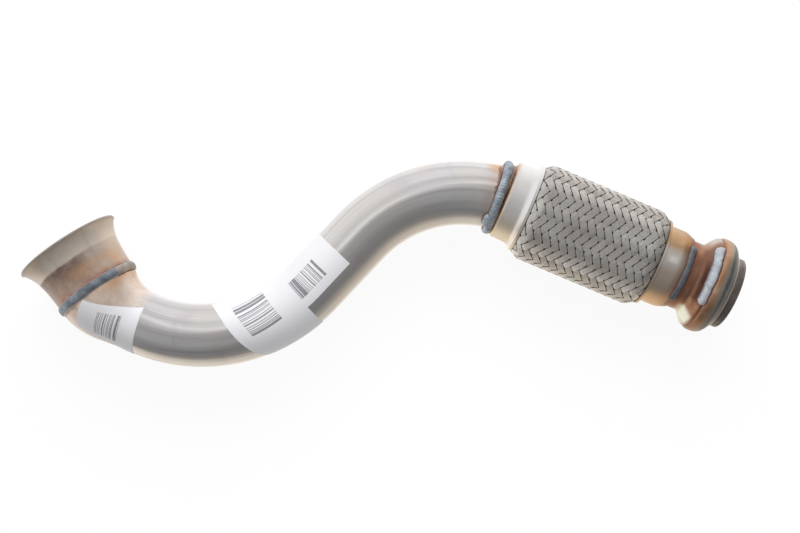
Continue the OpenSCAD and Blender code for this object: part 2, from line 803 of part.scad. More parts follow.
// The flange's outer face from its rear edge to its front, moved outwards by a gap
function flange_outline(gap) = let(
    // Shares of the flange's length and of the drop to its front
    crown_shares = [
        [0.11, 0.04], [0.19, 0.01], [0.27, 0], [0.36, 0.005], [0.46, 0.03], [0.55, 0.07], [0.64, 0.15],
        [0.73, 0.28], [0.82, 0.5], [0.89, 0.72], [0.95, 0.91]
    ],
    front_r = seal_r + seat_gap + flange_wall / 2
) concat(
    [[flange_rear_x + seat_gap - gap, flange_edge_r + gap]],
    [for (p = crown_shares) [
        flange_rear_x + flange_len * p[0],
        flange_r - (flange_r - front_r) * p[1] + gap
    ]],
    [[flange_front_x, front_r + gap]]
);

// The flange: a skirt against the bell, a rounded crown, a sleeve that carries the bore, and a nose
module outlet_flange() {
    skirt_r = bell_r - outlet_tube_wall;
    skirt_share = 0.35;
    sleeve_r = outlet_bore_r + flange_wall;
    sleeve_share = 0.78;
    color("peru") as_it_lies()
        turned(concat(
            flange_outline(0),
            [
                [flange_front_x, nose_r],
                [0, nose_r],
                [0, outlet_bore_r],
                [flange_front_x - flange_len * sleeve_share, outlet_bore_r],
                [flange_front_x - flange_len * sleeve_share, sleeve_r],
                [flange_front_x - flange_wall, sleeve_r],
                [flange_rear_x + flange_len * skirt_share, skirt_r],
                [flange_rear_x + seat_gap, skirt_r]
            ]
        ));
}

module seal_ring() {
    inner_r = nose_r + seat_gap;
    color("dimgray") as_it_lies()
        turned([
            [flange_front_x, inner_r],
            [flange_front_x, seal_r],
            [-seal_chamfer, seal_r],
            [0, seal_r - seal_chamfer],
            [0, inner_r]
        ]);
}

// The rear bead's section: [radius, place along the axis]. It starts at a corner of the collar's shoulder,
// lies over the collar's end and comes down on the tube
function rear_bead_section() = let(
    steps = 6,
    start_x = rear_neck_x - rear_shoulder_len * (1 - rear_bead_step / shoulder_steps),
    seat = [for (p = rear_collar_outline(-bead_gap)) if (p[0] > start_x - bead_gap) p],
    last = len(seat) - 1,
    mid_x = start_x + rear_bead_w / 2,
    top_r = outlet_tube_r + rear_bead_h,
    end_r = outlet_tube_r + bead_gap
) concat(
    [for (k = [0:steps]) let(a = 90 * k / steps)
        [seat[0][1] + (top_r - seat[0][1]) * sin(a), mid_x - rear_bead_w / 2 * cos(a)]],
    [for (k = [1:steps]) let(a = 90 * k / steps)
        [end_r + (top_r - end_r) * cos(a), mid_x + rear_bead_w / 2 * sin(a)]],
    [[end_r, seat[last][0] + bead_gap], [seat[last][1], seat[last][0] + bead_gap]],
    [for (i = [last - 1:-1:1]) [seat[i][1], seat[i][0]]]
);

// A stitch with flat ends and a section that follows the pieces under it
module fitted_stitch(section, arc, mid_angle) {
    rotate([90 - mid_angle, 0, 0])
        rotate([0, 90, 0])
            rotate([0, 0, 90 - arc / 2])
                rotate_extrude(angle = arc) polygon(section);
}

module rear_weld(mid_angle) {
    color("slategray") as_it_lies()
        fitted_stitch(rear_bead_section(), rear_stitch_arc, mid_angle);
}

// The stitches at the collar aren't quite centred on top and below
rear_weld_angle = -3;

module rear_weld_upper() {
    rear_weld(rear_weld_angle);
}

module rear_weld_lower() {
    rear_weld(180 + rear_weld_angle);
}

// The flange bead's section: [radius, place along the axis]. It starts on the bell, arches up to the slope
// behind the flange's crown, and comes back along the flange's edge and the bell
function flange_bead_section() = let(
    steps = 10,
    bell = outlet_tube_outline(-bead_gap),
    crown = flange_outline(bead_gap),
    start = bell[flange_bead_step + 1],
    end = (crown[0] + crown[1]) / 2,
    chord = end - start,
    over = [-chord[1], chord[0]] / norm(chord) * flange_bead_h
) concat(
    [for (k = [0:steps]) let(
        a = 180 * k / steps,
        p = start + chord * (1 - cos(a)) / 2 + over * sin(a)
    ) [p[1], p[0]]],
    [[crown[0][1], crown[0][0]], [bell_r + bead_gap, crown[0][0]]],
    [for (k = [bell_steps + 1:-1:flange_bead_step + 2]) [bell[k][1], bell[k][0]]]
);

module flange_weld(mid_angle) {
    color("lightsteelblue") as_it_lies()
        fitted_stitch(flange_bead_section(), flange_stitch_arc, mid_angle);
}

// The stitches at the flange aren't quite in line with those at the collar
flange_weld_angle = 10;

module flange_weld_upper() {
    flange_weld(flange_weld_angle);
}

module flange_weld_lower() {
    flange_weld(180 + flange_weld_angle);
}

inlet_cup();
inlet_weld();
bent_pipe();
inlet_label();
upper_label();
lower_label();
front_weld();
front_collar();
front_inner_ring();
liner();
bellows();
braid();
rear_collar();
rear_inner_ring();
rear_weld_upper();
rear_weld_lower();
outlet_tube();
flange_weld_upper();
flange_weld_lower();
outlet_flange();
seal_ring();
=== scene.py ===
"""Exhaust front pipe with a braided flexible coupling, seen from above on a pale floor.

Sizes are in millimetres and angles in degrees, as in the construction model. lying() turns them into
metres and into the pose in which the pipe lies. Materials work in metres.
"""
import math

import bpy
import numpy as np
from mathutils import Euler, Matrix, Vector


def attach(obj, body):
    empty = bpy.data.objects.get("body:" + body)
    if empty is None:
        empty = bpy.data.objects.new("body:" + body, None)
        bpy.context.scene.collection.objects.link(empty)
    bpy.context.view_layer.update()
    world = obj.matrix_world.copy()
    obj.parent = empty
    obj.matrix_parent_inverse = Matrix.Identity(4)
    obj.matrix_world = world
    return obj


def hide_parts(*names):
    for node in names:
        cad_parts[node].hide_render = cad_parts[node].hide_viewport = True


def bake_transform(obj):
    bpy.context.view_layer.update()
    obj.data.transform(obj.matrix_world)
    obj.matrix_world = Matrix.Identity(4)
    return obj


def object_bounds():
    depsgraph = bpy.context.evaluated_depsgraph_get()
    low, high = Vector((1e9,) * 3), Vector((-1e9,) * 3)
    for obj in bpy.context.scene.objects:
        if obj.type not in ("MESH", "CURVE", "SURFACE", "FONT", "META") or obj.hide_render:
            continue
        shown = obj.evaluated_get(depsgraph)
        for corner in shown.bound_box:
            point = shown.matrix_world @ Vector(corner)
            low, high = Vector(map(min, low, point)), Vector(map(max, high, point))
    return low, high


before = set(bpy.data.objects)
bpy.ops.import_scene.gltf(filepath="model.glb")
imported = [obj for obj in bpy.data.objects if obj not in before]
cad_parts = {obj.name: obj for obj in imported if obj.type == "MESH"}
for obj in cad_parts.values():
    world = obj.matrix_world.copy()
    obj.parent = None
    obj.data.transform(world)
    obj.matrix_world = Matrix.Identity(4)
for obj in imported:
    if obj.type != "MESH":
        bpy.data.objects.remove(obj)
CAD_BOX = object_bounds()

# Driving sizes, repeated from the construction model
PIPE_R, PIPE_WALL = 25.0, 1.5
ARCH_R, ARCH_ANGLE = 108.3, 69.6
STRAIGHT_LEN = 55.2
BELLY_R, BELLY_ANGLE = 117.4, 82.0
ELBOW_R, ELBOW_ANGLE = 53.0, 19.8
MOUTH_LEN, MOUTH_GROWTH = 37.0, 7.4
CUP_LEN, CUP_WALL, CUP_BORE = 42.0, 1.6, 7.0
CUP_TAPER, CUP_FLARE, RIM_T = 1.4, 7.5, 2.6
BRAID_LEN, BRAID_R, BRAID_END_R, SWELL_LEN = 103.5, 39.0, 35.1, 8.0
PLAITS, REPEATS, WEAVE_TURN = 22, 15, -9.4
LIP_R, LIP_W, COLLAR_WALL = 34.9, 2.4, 1.1
FRONT_LEN, FRONT_MOUTH_R, FRONT_FLARE = 22.6, 33.9, 5.0
FRONT_BARREL_R, FRONT_SHOULDER_R, FRONT_NECK = 31.2, 30.6, 3.5
PIPE_INSERT, NECK_GAP, NECK_REACH = 11.7, 0.8, 1.5
REAR_LEN, REAR_BARREL_R, REAR_NECK, REAR_SHOULDER = 24.0, 31.3, 0.5, 9.0
TUBE_R, TUBE_WALL, TUBE_NECK, TUBE_INSERT = 27.4, 1.5, 8.8, 2.0
BELL_LEN, BELL_R, BELL_CURVE = 10.9, 36.6, 0.92
FLANGE_R, FLANGE_EDGE_R, FLANGE_LEN, BORE_R = 38.3, 36.9, 16.6, 25.5
FLANGE_WALL, NOSE_LEN, SEAL_R = 3.2, 6.5, 28.3
BEAD_W, INLET_BEAD_H, FRONT_BEAD_H, BEAD_LAP, INLET_BEAD_SHIFT = 6.6, 1.7, 4.8, 0.4, 1.8
REAR_BEAD_W, REAR_ARC, REAR_TURN = 5.2, 100.0, -3.0
FLANGE_BEAD_H, FLANGE_ARC, FLANGE_TURN = 2.9, 82.0, 10.0
SEAT_GAP, FLEX_GAP = 0.15, 0.3
REST_ROLL, REST_PITCH = 0.09, 0.43

# The beads as they look: wider than in the construction model. A restart has its width, its arc, the
# middle of its arc and its shift along the axis
INLET_BEAD_WIDER, FRONT_BEAD_WIDER, STITCH_WIDER = 1.15, 1.25, 1.2
INLET_BEAD_HIGHER, RESTART_HIGHER = 1.1, 1.15
INLET_RESTART = (8.5, 52, -66, INLET_BEAD_SHIFT)
FRONT_RESTART = (11.5, 32, 51, 1.8)
REAR_STITCH_H = 2.4

# The plaits: their middle's depth under the braid's outer radius, how far they rise and fall, and
# thickness; the height and number of their wires; half their width as a share of half their spacing; and
# how far their ends reach past the braid's length and dive under the lips
PLAIT_DEPTH, PLAIT_RISE, PLAIT_T = 0.95, 0.5, 0.9
WIRE_H, WIRES = 0.22, 7
PLAIT_HALF = 0.91
PLAIT_REACH, PLAIT_TUCK = 0.8, 1.4

# Places along the coupling's axis
FLANGE_FRONT_X = -NOSE_LEN
FLANGE_REAR_X = FLANGE_FRONT_X - FLANGE_LEN
BELL_REAR_X = FLANGE_REAR_X - BELL_LEN
REAR_END_X = BELL_REAR_X - TUBE_NECK
REAR_LIP_X = REAR_END_X - REAR_LEN
FRONT_LIP_X = REAR_LIP_X - BRAID_LEN
FLEX_MID_X = REAR_LIP_X - BRAID_LEN / 2
FRONT_END_X = FRONT_LIP_X - FRONT_LEN
PIPE_END_X = FRONT_END_X + PIPE_INSERT

# Lengths along the pipe's middle line, from its end in the front collar
ARCH_LEN = math.radians(ARCH_ANGLE) * ARCH_R
BELLY_START = ARCH_LEN + STRAIGHT_LEN
BELLY_LEN = math.radians(BELLY_ANGLE) * BELLY_R
ELBOW_START = BELLY_START + BELLY_LEN
PATH_LEN = ELBOW_START + math.radians(ELBOW_ANGLE) * ELBOW_R
MOUTH_START = PATH_LEN - MOUTH_LEN
MOUTH_R = PIPE_R + MOUTH_GROWTH

# The labels' corners, in order round each label, as lengths along the pipe and angles round it. Bars are
# the middle and size of a label's row of bars, as shares along the pipe and round it, and how many bars
# the row can hold
INLET_LABEL = [(PATH_LEN - 42.6, -33), (PATH_LEN - 2, 13), (PATH_LEN - 9.6, 57), (PATH_LEN - 46.5, 75)]
LOWER_LABEL = [(197.5, -100), (272, -70), (236, 92), (197.5, 92)]
UPPER_LABEL = [(152, -100), (199, -100), (199, 22), (152, 22)]
INLET_BARS = (0.52, 0.50, 0.40, 0.62, 20)
LOWER_BARS = (0.58, 0.36, 0.46, 0.38, -26)
UPPER_BARS = (0.66, 0.70, 0.58, 0.32, 26)
LABEL_LIFT, LABEL_T = 0.2, 0.15

# The photograph's view: millimetres per pixel, the turn of the coupling's axis, the pixel of the
# coupling's middle, and the camera's height in pixels
IMAGE_W, IMAGE_H = 800, 533
MM_PER_PX = 0.781
VIEW_TURN = 22.9
MID_PX = (589.1, 234.8)
VIEW_HEIGHT_PX = 1200

# The stage's levels, and its sizes in metres
FLOOR_SHADE, FLOOR_GLOW, ROOM_LEVEL = 0.11, 0.91, 0.48
FLOOR_REACH = 6
LAMP_LEN, LAMP_W, LAMP_WATTS = 1.6, 0.9, 21
LAMP_ASIDE, LAMP_HEIGHT = 1.15, 0.9
PART_MIDDLE = Vector((-0.25, -0.08, 0))

MM = 0.001
LYING = Euler((math.radians(REST_ROLL), math.radians(REST_PITCH), 0)).to_matrix()


# Curves and profiles

def bend_from(start, radius, angle, side):
    """[x, y, heading] after a bend in the XY plane; side is 1 for a left turn. Angles may be arrays."""
    x, y, h = start
    h1 = h + side * angle
    dx = side * radius * (np.sin(np.radians(h1)) - np.sin(np.radians(h)))
    dy = side * radius * (np.cos(np.radians(h)) - np.cos(np.radians(h1)))
    return x + dx, y + dy, h1


def path_at(t):
    """The pipe's middle line: x, y and heading at lengths t from its end in the front collar."""
    t = np.asarray(t, float)
    a = bend_from((PIPE_END_X, 0.0, 180.0), ARCH_R, np.degrees(np.clip(t, None, ARCH_LEN) / ARCH_R), 1)
    run = np.clip(t - ARCH_LEN, 0, STRAIGHT_LEN)
    b = (a[0] + run * np.cos(np.radians(a[2])), a[1] + run * np.sin(np.radians(a[2])), a[2])
    c = bend_from(b, BELLY_R, np.degrees(np.clip(t - BELLY_START, 0, BELLY_LEN) / BELLY_R), -1)
    return bend_from(c, ELBOW_R, np.degrees(np.clip(t - ELBOW_START, 0, None) / ELBOW_R), -1)


def smooth_step(share):
    share = np.clip(share, 0, 1)
    return share * share * (3 - 2 * share)


def pipe_radius(t):
    return PIPE_R + MOUTH_GROWTH * smooth_step((np.asarray(t, float) - MOUTH_START) / MOUTH_LEN)


def round_path(t, radius, around):
    """Points round the pipe's middle line. around is 0 on top and 90 on the left of the heading."""
    x, y, h = path_at(t)
    h, a = np.radians(h), np.radians(around)
    side = radius * np.sin(a)
    xyz = np.broadcast_arrays(x - side * np.sin(h), y + side * np.cos(h), radius * np.cos(a))
    return np.stack(xyz, -1)


def round_axis(x, radius, around):
    """Points round the coupling's axis. around is 0 on top and 90 towards +Y."""
    a = np.radians(around)
    return np.stack(np.broadcast_arrays(x, radius * np.sin(a), radius * np.cos(a)), -1)


def inlet_frame():
    """The matrix of the pipe's inlet end, with X along its heading."""
    x, y, h = path_at(PATH_LEN)
    return Matrix.Translation((x, y, 0)) @ Matrix.Rotation(math.radians(h), 4, "Z")


def bead_frame():
    """The matrix of the front bead's middle, leaning half as far as the pipe has turned there."""
    x, y, h = path_at(PIPE_INSERT + BEAD_W / 2 - BEAD_LAP)
    return Matrix.Translation((x, y, 0)) @ Matrix.Rotation(math.radians(180 + (h - 180) / 2), 4, "Z")


def placed(points, matrix):
    m = np.array(matrix)
    return points @ m[:3, :3].T + m[:3, 3]


def wobble(x, seed):
    """A smooth made-up unevenness between about -1 and 1."""
    total = 0
    for k in range(1, 5):
        total = total + np.sin(x * k * 1.7 + seed * (k + 0.37) * 2.1 + np.sin(x * k * 0.61 + seed)) / k
    return total / 2


# Meshes

def lying(points):
    """Points in metres, in the pose in which the pipe lies."""
    return (points.reshape(-1, 3) @ np.array(LYING).T) * MM


def add_object(name, data):
    made = bpy.data.objects.new(name, data)
    bpy.context.scene.collection.objects.link(made)
    return made


def add_smooth(name, mesh, material, sharp):
    """A smooth-shaded object, whose edges over an angle stay sharp."""
    mesh.materials.append(material)
    mesh.polygons.foreach_set("use_smooth", [True] * len(mesh.polygons))
    mesh.set_sharp_from_angle(angle=math.radians(sharp))
    return add_object(name, mesh)


def grid_faces(rows, cols, closed):
    """Each face's row and column in a grid, and its corners. closed is for the rows and for the columns."""
    i, j = np.meshgrid(np.arange(rows - (not closed[0])), np.arange(cols - (not closed[1])), indexing="ij")
    i, j = i.ravel(), j.ravel()
    i1, j1 = (i + 1) % rows, (j + 1) % cols
    return i, j, np.stack([i * cols + j, i * cols + j1, i1 * cols + j1, i1 * cols + j], 1)


def build(name, points, material, body, closed, uv, replaces=(), sharp=40, slot=None):
    """A piece from a grid of points. uv gives the surface coordinates of each corner of the grid, with
    the first row and column once more at the end where they close."""
    i, j, quads = grid_faces(*points.shape[:2], closed)
    mesh = bpy.data.meshes.new(name)
    mesh.from_pydata(lying(points).tolist(), [], quads.tolist())
    layer = mesh.uv_layers.new(name="place")
    corner = np.stack([uv[i, j], uv[i, j + 1], uv[i + 1, j + 1], uv[i + 1, j]], 1)
    layer.data.foreach_set("uv", (corner.reshape(-1) * MM).astype(np.float32))
    piece = add_smooth(name, mesh, material, sharp)
    if replaces:
        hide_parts(*replaces)
    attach(piece, body)


def flex(piece):
    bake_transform(piece)


def turned(name, profile, material, body, matrix=None, sides=128, **options):
    """A piece of revolution about X from a closed profile of points [x, radius]. Its surface coordinates
    are the angle round it and the x along the axis."""
    profile = np.array(profile, float)
    around = np.arange(sides + 1) * 360 / sides
    points = round_axis(profile[:, :1], profile[:, 1:], around[None, :-1])
    if matrix is not None:
        points = placed(points, matrix)
    ring = np.append(profile[:, 0], profile[0, 0])
    uv = np.stack(np.broadcast_arrays(around[None, :], ring[:, None]), -1)
    build(name, points, material, body, closed=(True, True), uv=uv, **options)


def refined(profile, step=1.2):
    """The same closed profile with more points on its long stretches."""
    profile = [np.array(p, float) for p in profile]
    out = []
    for a, b in zip(profile, profile[1:] + profile[:1]):
        count = max(1, int(np.hypot(*(b - a)) / step))
        out += [a + (b - a) * k / count for k in range(count)]
    return np.array(out)


def shell(outer, inner):
    return list(outer) + list(inner)[::-1]


# Materials

class Nodes:
    """The empty node tree of a material or world, filled by small calls."""

    def __init__(self, owner):
        owner.use_nodes = True
        self.tree = owner.node_tree
        self.tree.nodes.clear()

    def node(self, kind, **settings):
        n = self.tree.nodes.new(kind)
        for key, value in settings.items():
            setattr(n, key, value)
        return n

    def link(self, source, target):
        self.tree.links.new(source, target)

    def put(self, socket, value):
        """Links an output or sets a value."""
        if isinstance(value, bpy.types.NodeSocket):
            self.link(value, socket)
        else:
            socket.default_value = value

    def ramp(self, value, stops):
        """A colour ramp from (place, colour) stops."""
        n = self.node("ShaderNodeValToRGB")
        while len(n.color_ramp.elements) < len(stops):
            n.color_ramp.elements.new(0.5)
        for element, (where, colour) in zip(n.color_ramp.elements, stops):
            element.position = where
            element.color = (*colour, 1)
        self.put(n.inputs[0], value)
        return n.outputs[0]

    def split(self, vector):
        n = self.node("ShaderNodeSeparateXYZ")
        self.link(vector, n.inputs[0])
        return n.outputs

    def choose(self, share, first, second):
        """A mix of two shaders."""
        n = self.node("ShaderNodeMixShader")
        for socket, source in zip(n.inputs, (share, first, second)):
            self.link(source, socket)
        return n.outputs[0]

    def math(self, operation, a, b=0.0):
        n = self.node("ShaderNodeMath", operation=operation)
        self.put(n.inputs[0], a)
        self.put(n.inputs[1], b)
        return n.outputs[0]


class Shader(Nodes):
    """A material on a principled shader."""

    def __init__(self, name):
        self.material = bpy.data.materials.new(name)
        super().__init__(self.material)
        self.bsdf = self.node("ShaderNodeBsdfPrincipled")
        self.surface = self.node("ShaderNodeOutputMaterial").inputs["Surface"]
        self.link(self.bsdf.outputs[0], self.surface)

    def place(self):
        """The surface coordinates: degrees / 1000 and metres on round pieces, shares on the others."""
        return self.node("ShaderNodeUVMap", uv_map="place").outputs[0]

    def round_place(self):
        """A round piece's surface coordinates, its length along the axis, and its side."""
        place = self.place()
        return place, self.split(place)[1], self.side(place)

    def position(self):
        return self.node("ShaderNodeTexCoord").outputs["Object"]

    def side(self, place):
        """The sine of the angle round a piece: 0 on top and below, 1 and -1 at its sides."""
        return self.math("SINE", self.math("MULTIPLY", self.split(place)[0], math.radians(1) / MM))

    def times(self, first, *others):
        for other in others:
            first = self.math("MULTIPLY", first, other)
        return first

    def away(self, value, middle):
        """How far a value is from a middle, on either side."""
        return self.math("ABSOLUTE", self.math("SUBTRACT", value, middle))

    def stretch(self, vector, scale):
        n = self.node("ShaderNodeVectorMath", operation="MULTIPLY")
        self.put(n.inputs[0], vector)
        n.inputs[1].default_value = scale
        return n.outputs[0]

    def noise(self, vector, scale, detail=3.0, roughness=0.55, distortion=0.0):
        n = self.node("ShaderNodeTexNoise")
        self.put(n.inputs["Vector"], vector)
        n.inputs["Scale"].default_value = scale
        n.inputs["Detail"].default_value = detail
        n.inputs["Roughness"].default_value = roughness
        n.inputs["Distortion"].default_value = distortion
        return n.outputs["Fac"]

    def turned_lines(self, place, density, along=30):
        """Fine lines round a turned piece."""
        return self.noise(self.stretch(place, (along, density, 1)), 1.0, 2, 0.5)

    def frayed(self, value, noise, reach):
        """A value moved to and fro by a noise, for uneven edges."""
        return self.math("ADD", value, self.times(self.math("SUBTRACT", noise, 0.5), reach))

    def span(self, value, low, high, to_low=0.0, to_high=1.0):
        """A smooth change from to_low at low to to_high at high, and level beyond."""
        n = self.node("ShaderNodeMapRange", clamp=True, interpolation_type="SMOOTHSTEP")
        for socket, v in zip(n.inputs, (value, low, high, to_low, to_high)):
            self.put(socket, v)
        return n.outputs[0]

    def mix(self, share, a, b):
        n = self.node("ShaderNodeMix", data_type="RGBA")
        self.put(n.inputs["Factor"], share)
        for socket, value in ((n.inputs[6], a), (n.inputs[7], b)):
            self.put(socket, value if isinstance(value, bpy.types.NodeSocket) else (*value, 1))
        return n.outputs[2]

    def bump(self, height, distance, strength=1.0, normal=None):
        n = self.node("ShaderNodeBump")
        n.inputs["Strength"].default_value = strength
        n.inputs["Distance"].default_value = distance
        self.put(n.inputs["Height"], height)
        if normal is not None:
            self.put(n.inputs["Normal"], normal)
        return n.outputs[0]

    def finish(self, colour, roughness, normal=None, metallic=1.0):
        for key, value in (("Base Color", colour), ("Roughness", roughness), ("Metallic", metallic)):
            self.put(self.bsdf.inputs[key], value)
        if normal is not None:
            self.link(normal, self.bsdf.inputs["Normal"])
        return self.material


# Colours, as linear values
STEEL = (0.73, 0.72, 0.72)
STEEL_WARM = (0.72, 0.67, 0.60)
STEEL_DIM = (0.60, 0.58, 0.58)
STEEL_MAUVE = (0.62, 0.55, 0.58)
STRAW = (0.66, 0.50, 0.32)
ORANGE = (0.62, 0.33, 0.15)
RUST = (0.50, 0.26, 0.14)
BROWN = (0.24, 0.12, 0.08)
BROWN_RED = (0.32, 0.12, 0.08)
PURPLE = (0.22, 0.14, 0.11)
TAUPE = (0.64, 0.55, 0.47)
PINK_TAUPE = (0.70, 0.60, 0.52)
# Painted shade for the braid's grooves, plait edges and dives
PAINTED_SHADE = (0.06, 0.05, 0.05)
PAPER = (0.82, 0.82, 0.85)
INK = (0.12, 0.12, 0.14)


def pipe_steel():
    """Drawn tube: lengthwise lines, mauve and warm stains, a duller mouth, heat tints at both welds."""
    s = Shader("pipe_steel")
    place, along, side = s.round_place()
    fine = s.noise(s.stretch(place, (400, 9, 1)), 1.0, 3, 0.6)
    broad = s.noise(s.stretch(place, (80, 4.5, 1)), 1.0, 2, 0.5)
    stain = s.noise(s.position(), 38, 4, 0.6, 0.4)
    cloud = s.noise(s.position(), 17, 3, 0.55, 0.5)
    edge = s.noise(s.position(), 70, 4, 0.65)
    colour = s.mix(s.span(broad, 0.35, 0.65), STEEL, STEEL_DIM)
    colour = s.mix(s.times(s.span(stain, 0.5, 0.72), 0.6), colour, STEEL_MAUVE)
    colour = s.mix(s.times(s.span(cloud, 0.48, 0.62), 0.3), colour, STEEL_WARM)
    near = s.frayed(along, edge, 0.010)
    # Beside the front bead, mostly on the side towards the photograph's top
    bead_edge = (PIPE_INSERT + BEAD_W - BEAD_LAP) * MM
    upper = s.span(side, -0.98, -0.55, 1.0, 0.25)
    tint = s.times(s.span(near, bead_edge + 0.0021, bead_edge + 0.0131, 1, 0), upper)
    colour = s.mix(tint, colour, ORANGE)
    colour = s.mix(s.span(near, bead_edge + 0.0005, bead_edge + 0.0023, 0.85, 0), colour, BROWN)
    # Beside the inlet bead
    end = PATH_LEN * MM
    mouth = s.span(near, end - 0.048, end - 0.028)
    colour = s.mix(mouth, colour, s.mix(s.span(edge, 0.35, 0.65), (0.78, 0.66, 0.57), (0.66, 0.53, 0.46)))
    upper = s.times(s.span(side, -0.8, 0.0, 0.9, 0.2), s.span(cloud, 0.3, 0.6, 0.3, 1))
    colour = s.mix(s.times(s.span(near, end - 0.022, end - 0.006), upper), colour, ORANGE)
    colour = s.mix(s.span(near, end - 0.0030, end - 0.0005, 0, 0.8), colour, BROWN)
    roughness = s.math("ADD", s.span(fine, 0.25, 0.8, 0.09, 0.22), s.times(mouth, 0.22))
    normal = s.bump(fine, 0.00004, 0.5)
    normal = s.bump(stain, 0.0006, 0.15, normal)
    return s.finish(colour, roughness, normal, metallic=s.span(mouth, 0, 1, 1, 0.5))


def cup_steel():
    """Spun cup: pinkish taupe, browner towards the weld, with a purple band and orange clouds."""
    s = Shader("cup_steel")
    place, along, side = s.round_place()
    mottle = s.noise(s.position(), 90, 5, 0.65)
    cloud = s.noise(s.position(), 48, 4, 0.6, 0.8)
    lines = s.turned_lines(place, 700, 15)
    near = s.frayed(along, cloud, 0.003)
    colour = s.mix(s.span(side, -0.6, 0.1), PINK_TAUPE, TAUPE)
    colour = s.mix(s.span(near, 0.012, 0.030, 0.55, 0), colour, (0.46, 0.29, 0.19))
    band = s.times(s.span(near, 0.003, 0.010), s.span(near, 0.0265, 0.0285, 1, 0))
    deep = s.span(near, 0.008, 0.027, 0.55, 1.0)
    colour = s.mix(s.times(band, deep, s.span(side, -0.75, 0.0, 0.2, 1.0)), colour, PURPLE)
    glow = s.times(s.span(near, 0.008, 0.012), s.span(near, 0.017, 0.023, 1, 0),
                   s.span(side, 0.0, 0.5, 1.0, 0.3))
    colour = s.mix(s.times(glow, s.span(cloud, 0.3, 0.75), 0.6), colour, ORANGE)
    burnt = s.times(s.span(near, 0.005, 0.010, 1, 0), s.span(cloud, 0.4, 0.6, 0.4, 0.9))
    colour = s.mix(burnt, colour, BROWN_RED)
    rim = CUP_LEN * MM
    # Painted shade: darker on the flare's curve towards the rim, and a dark line along the rim's edge
    colour = s.mix(s.span(along, rim - 0.014, rim, 0, 0.55), colour, (0.40, 0.33, 0.27))
    colour = s.mix(s.span(along, rim - 0.0015, rim + 0.0005, 0, 0.8), colour, (0.24, 0.20, 0.17))
    seams = s.span(s.math("MINIMUM", s.away(side, 0.24), s.away(side, -0.56)), 0.0, 0.05, 0.12, 0)
    colour = s.mix(s.times(seams, s.span(along, 0.012, 0.016)), colour, PURPLE)
    colour = s.mix(s.times(s.span(mottle, 0.45, 0.7), 0.25), colour, STEEL_WARM)
    normal = s.bump(lines, 0.00003, 0.4)
    normal = s.bump(mottle, 0.0002, 0.2, normal)
    return s.finish(colour, s.span(mottle, 0.3, 0.8, 0.34, 0.46), normal, metallic=0.55)


def front_collar_steel():
    """Pressed collar: satin light steel, warmer below as a painted warm reflection, with a narrow straw
    halo beside its weld.
    """
    s = Shader("front_collar_steel")
    place, along, side = s.round_place()
    cloud = s.noise(s.position(), 55, 4, 0.6, 0.5)
    lines = s.turned_lines(place, 1200)
    # Painted warm reflection: the lower side is tinted towards warm cream
    colour = s.mix(s.span(side, -0.1, -0.9), (0.80, 0.79, 0.78), (0.80, 0.70, 0.58))
    colour = s.mix(s.times(s.span(cloud, 0.45, 0.7), 0.3), colour, STEEL_WARM)
    near = s.frayed(along, cloud, 0.003)
    weld = (FRONT_END_X + 0.8) * MM
    halo = s.ramp(s.span(near, weld, weld + 0.006),
                  [(0.0, BROWN), (0.15, ORANGE), (0.55, STRAW), (1.0, STEEL_WARM)])
    colour = s.mix(s.span(near, weld, weld + 0.0055, 0.9, 0), colour, halo)
    # Painted shade: a dark line on the lip's end face, in the gap beside the braid
    lip = (FRONT_LIP_X - 0.7) * MM
    colour = s.mix(s.span(along, lip, lip + 0.0005), colour, (0.16, 0.14, 0.13))
    return s.finish(colour, s.span(lines, 0.2, 0.8, 0.34, 0.44), s.bump(lines, 0.00002, 0.4))


def rear_collar_steel():
    """Pressed collar after welding: orange tan at its sides and towards the weld, and pale taupe on top and
    darker taupe below it as painted light and shade, with a painted highlight spot."""
    s = Shader("rear_collar_steel")
    place, along, side = s.round_place()
    cloud = s.noise(s.position(), 46, 4, 0.6, 0.6)
    lines = s.turned_lines(place, 1200)
    # Painted light and shade: paler taupe on top, darker taupe on the side away from the light
    middle = s.mix(s.span(side, -0.25, 0.15), (0.56, 0.46, 0.39), (0.74, 0.68, 0.64))
    colour = s.mix(s.span(side, 0.25, 0.55), middle, (0.50, 0.31, 0.17))
    colour = s.mix(s.span(side, -0.5, -0.85), colour, (0.68, 0.47, 0.29))
    # A painted highlight: a bright spot on the barrel
    painted_highlight = s.times(s.span(s.away(along, (REAR_END_X - 14) * MM), 0.001, 0.006, 1, 0),
                   s.span(s.away(side, 0.16), 0.02, 0.14, 1, 0))
    colour = s.mix(painted_highlight, colour, (1.0, 0.96, 0.90))
    weld = (REAR_END_X - REAR_NECK) * MM
    near = s.frayed(along, cloud, 0.004)
    colour = s.mix(s.span(near, weld - 0.010, weld - 0.004, 0, 0.5), colour, RUST)
    colour = s.mix(s.span(near, weld - 0.0045, weld - 0.0022, 0, 0.85), colour, BROWN)
    colour = s.mix(s.times(s.span(cloud, 0.5, 0.7), 0.35), colour, STRAW)
    # Painted shade: a dark line on the lip's end face, in the gap beside the braid
    lip = (REAR_LIP_X + 0.5) * MM
    colour = s.mix(s.span(along, lip, lip + 0.0005, 1, 0), colour, (0.14, 0.12, 0.11))
    return s.finish(colour, s.span(lines, 0.2, 0.8, 0.30, 0.38), s.bump(lines, 0.00002, 0.4))


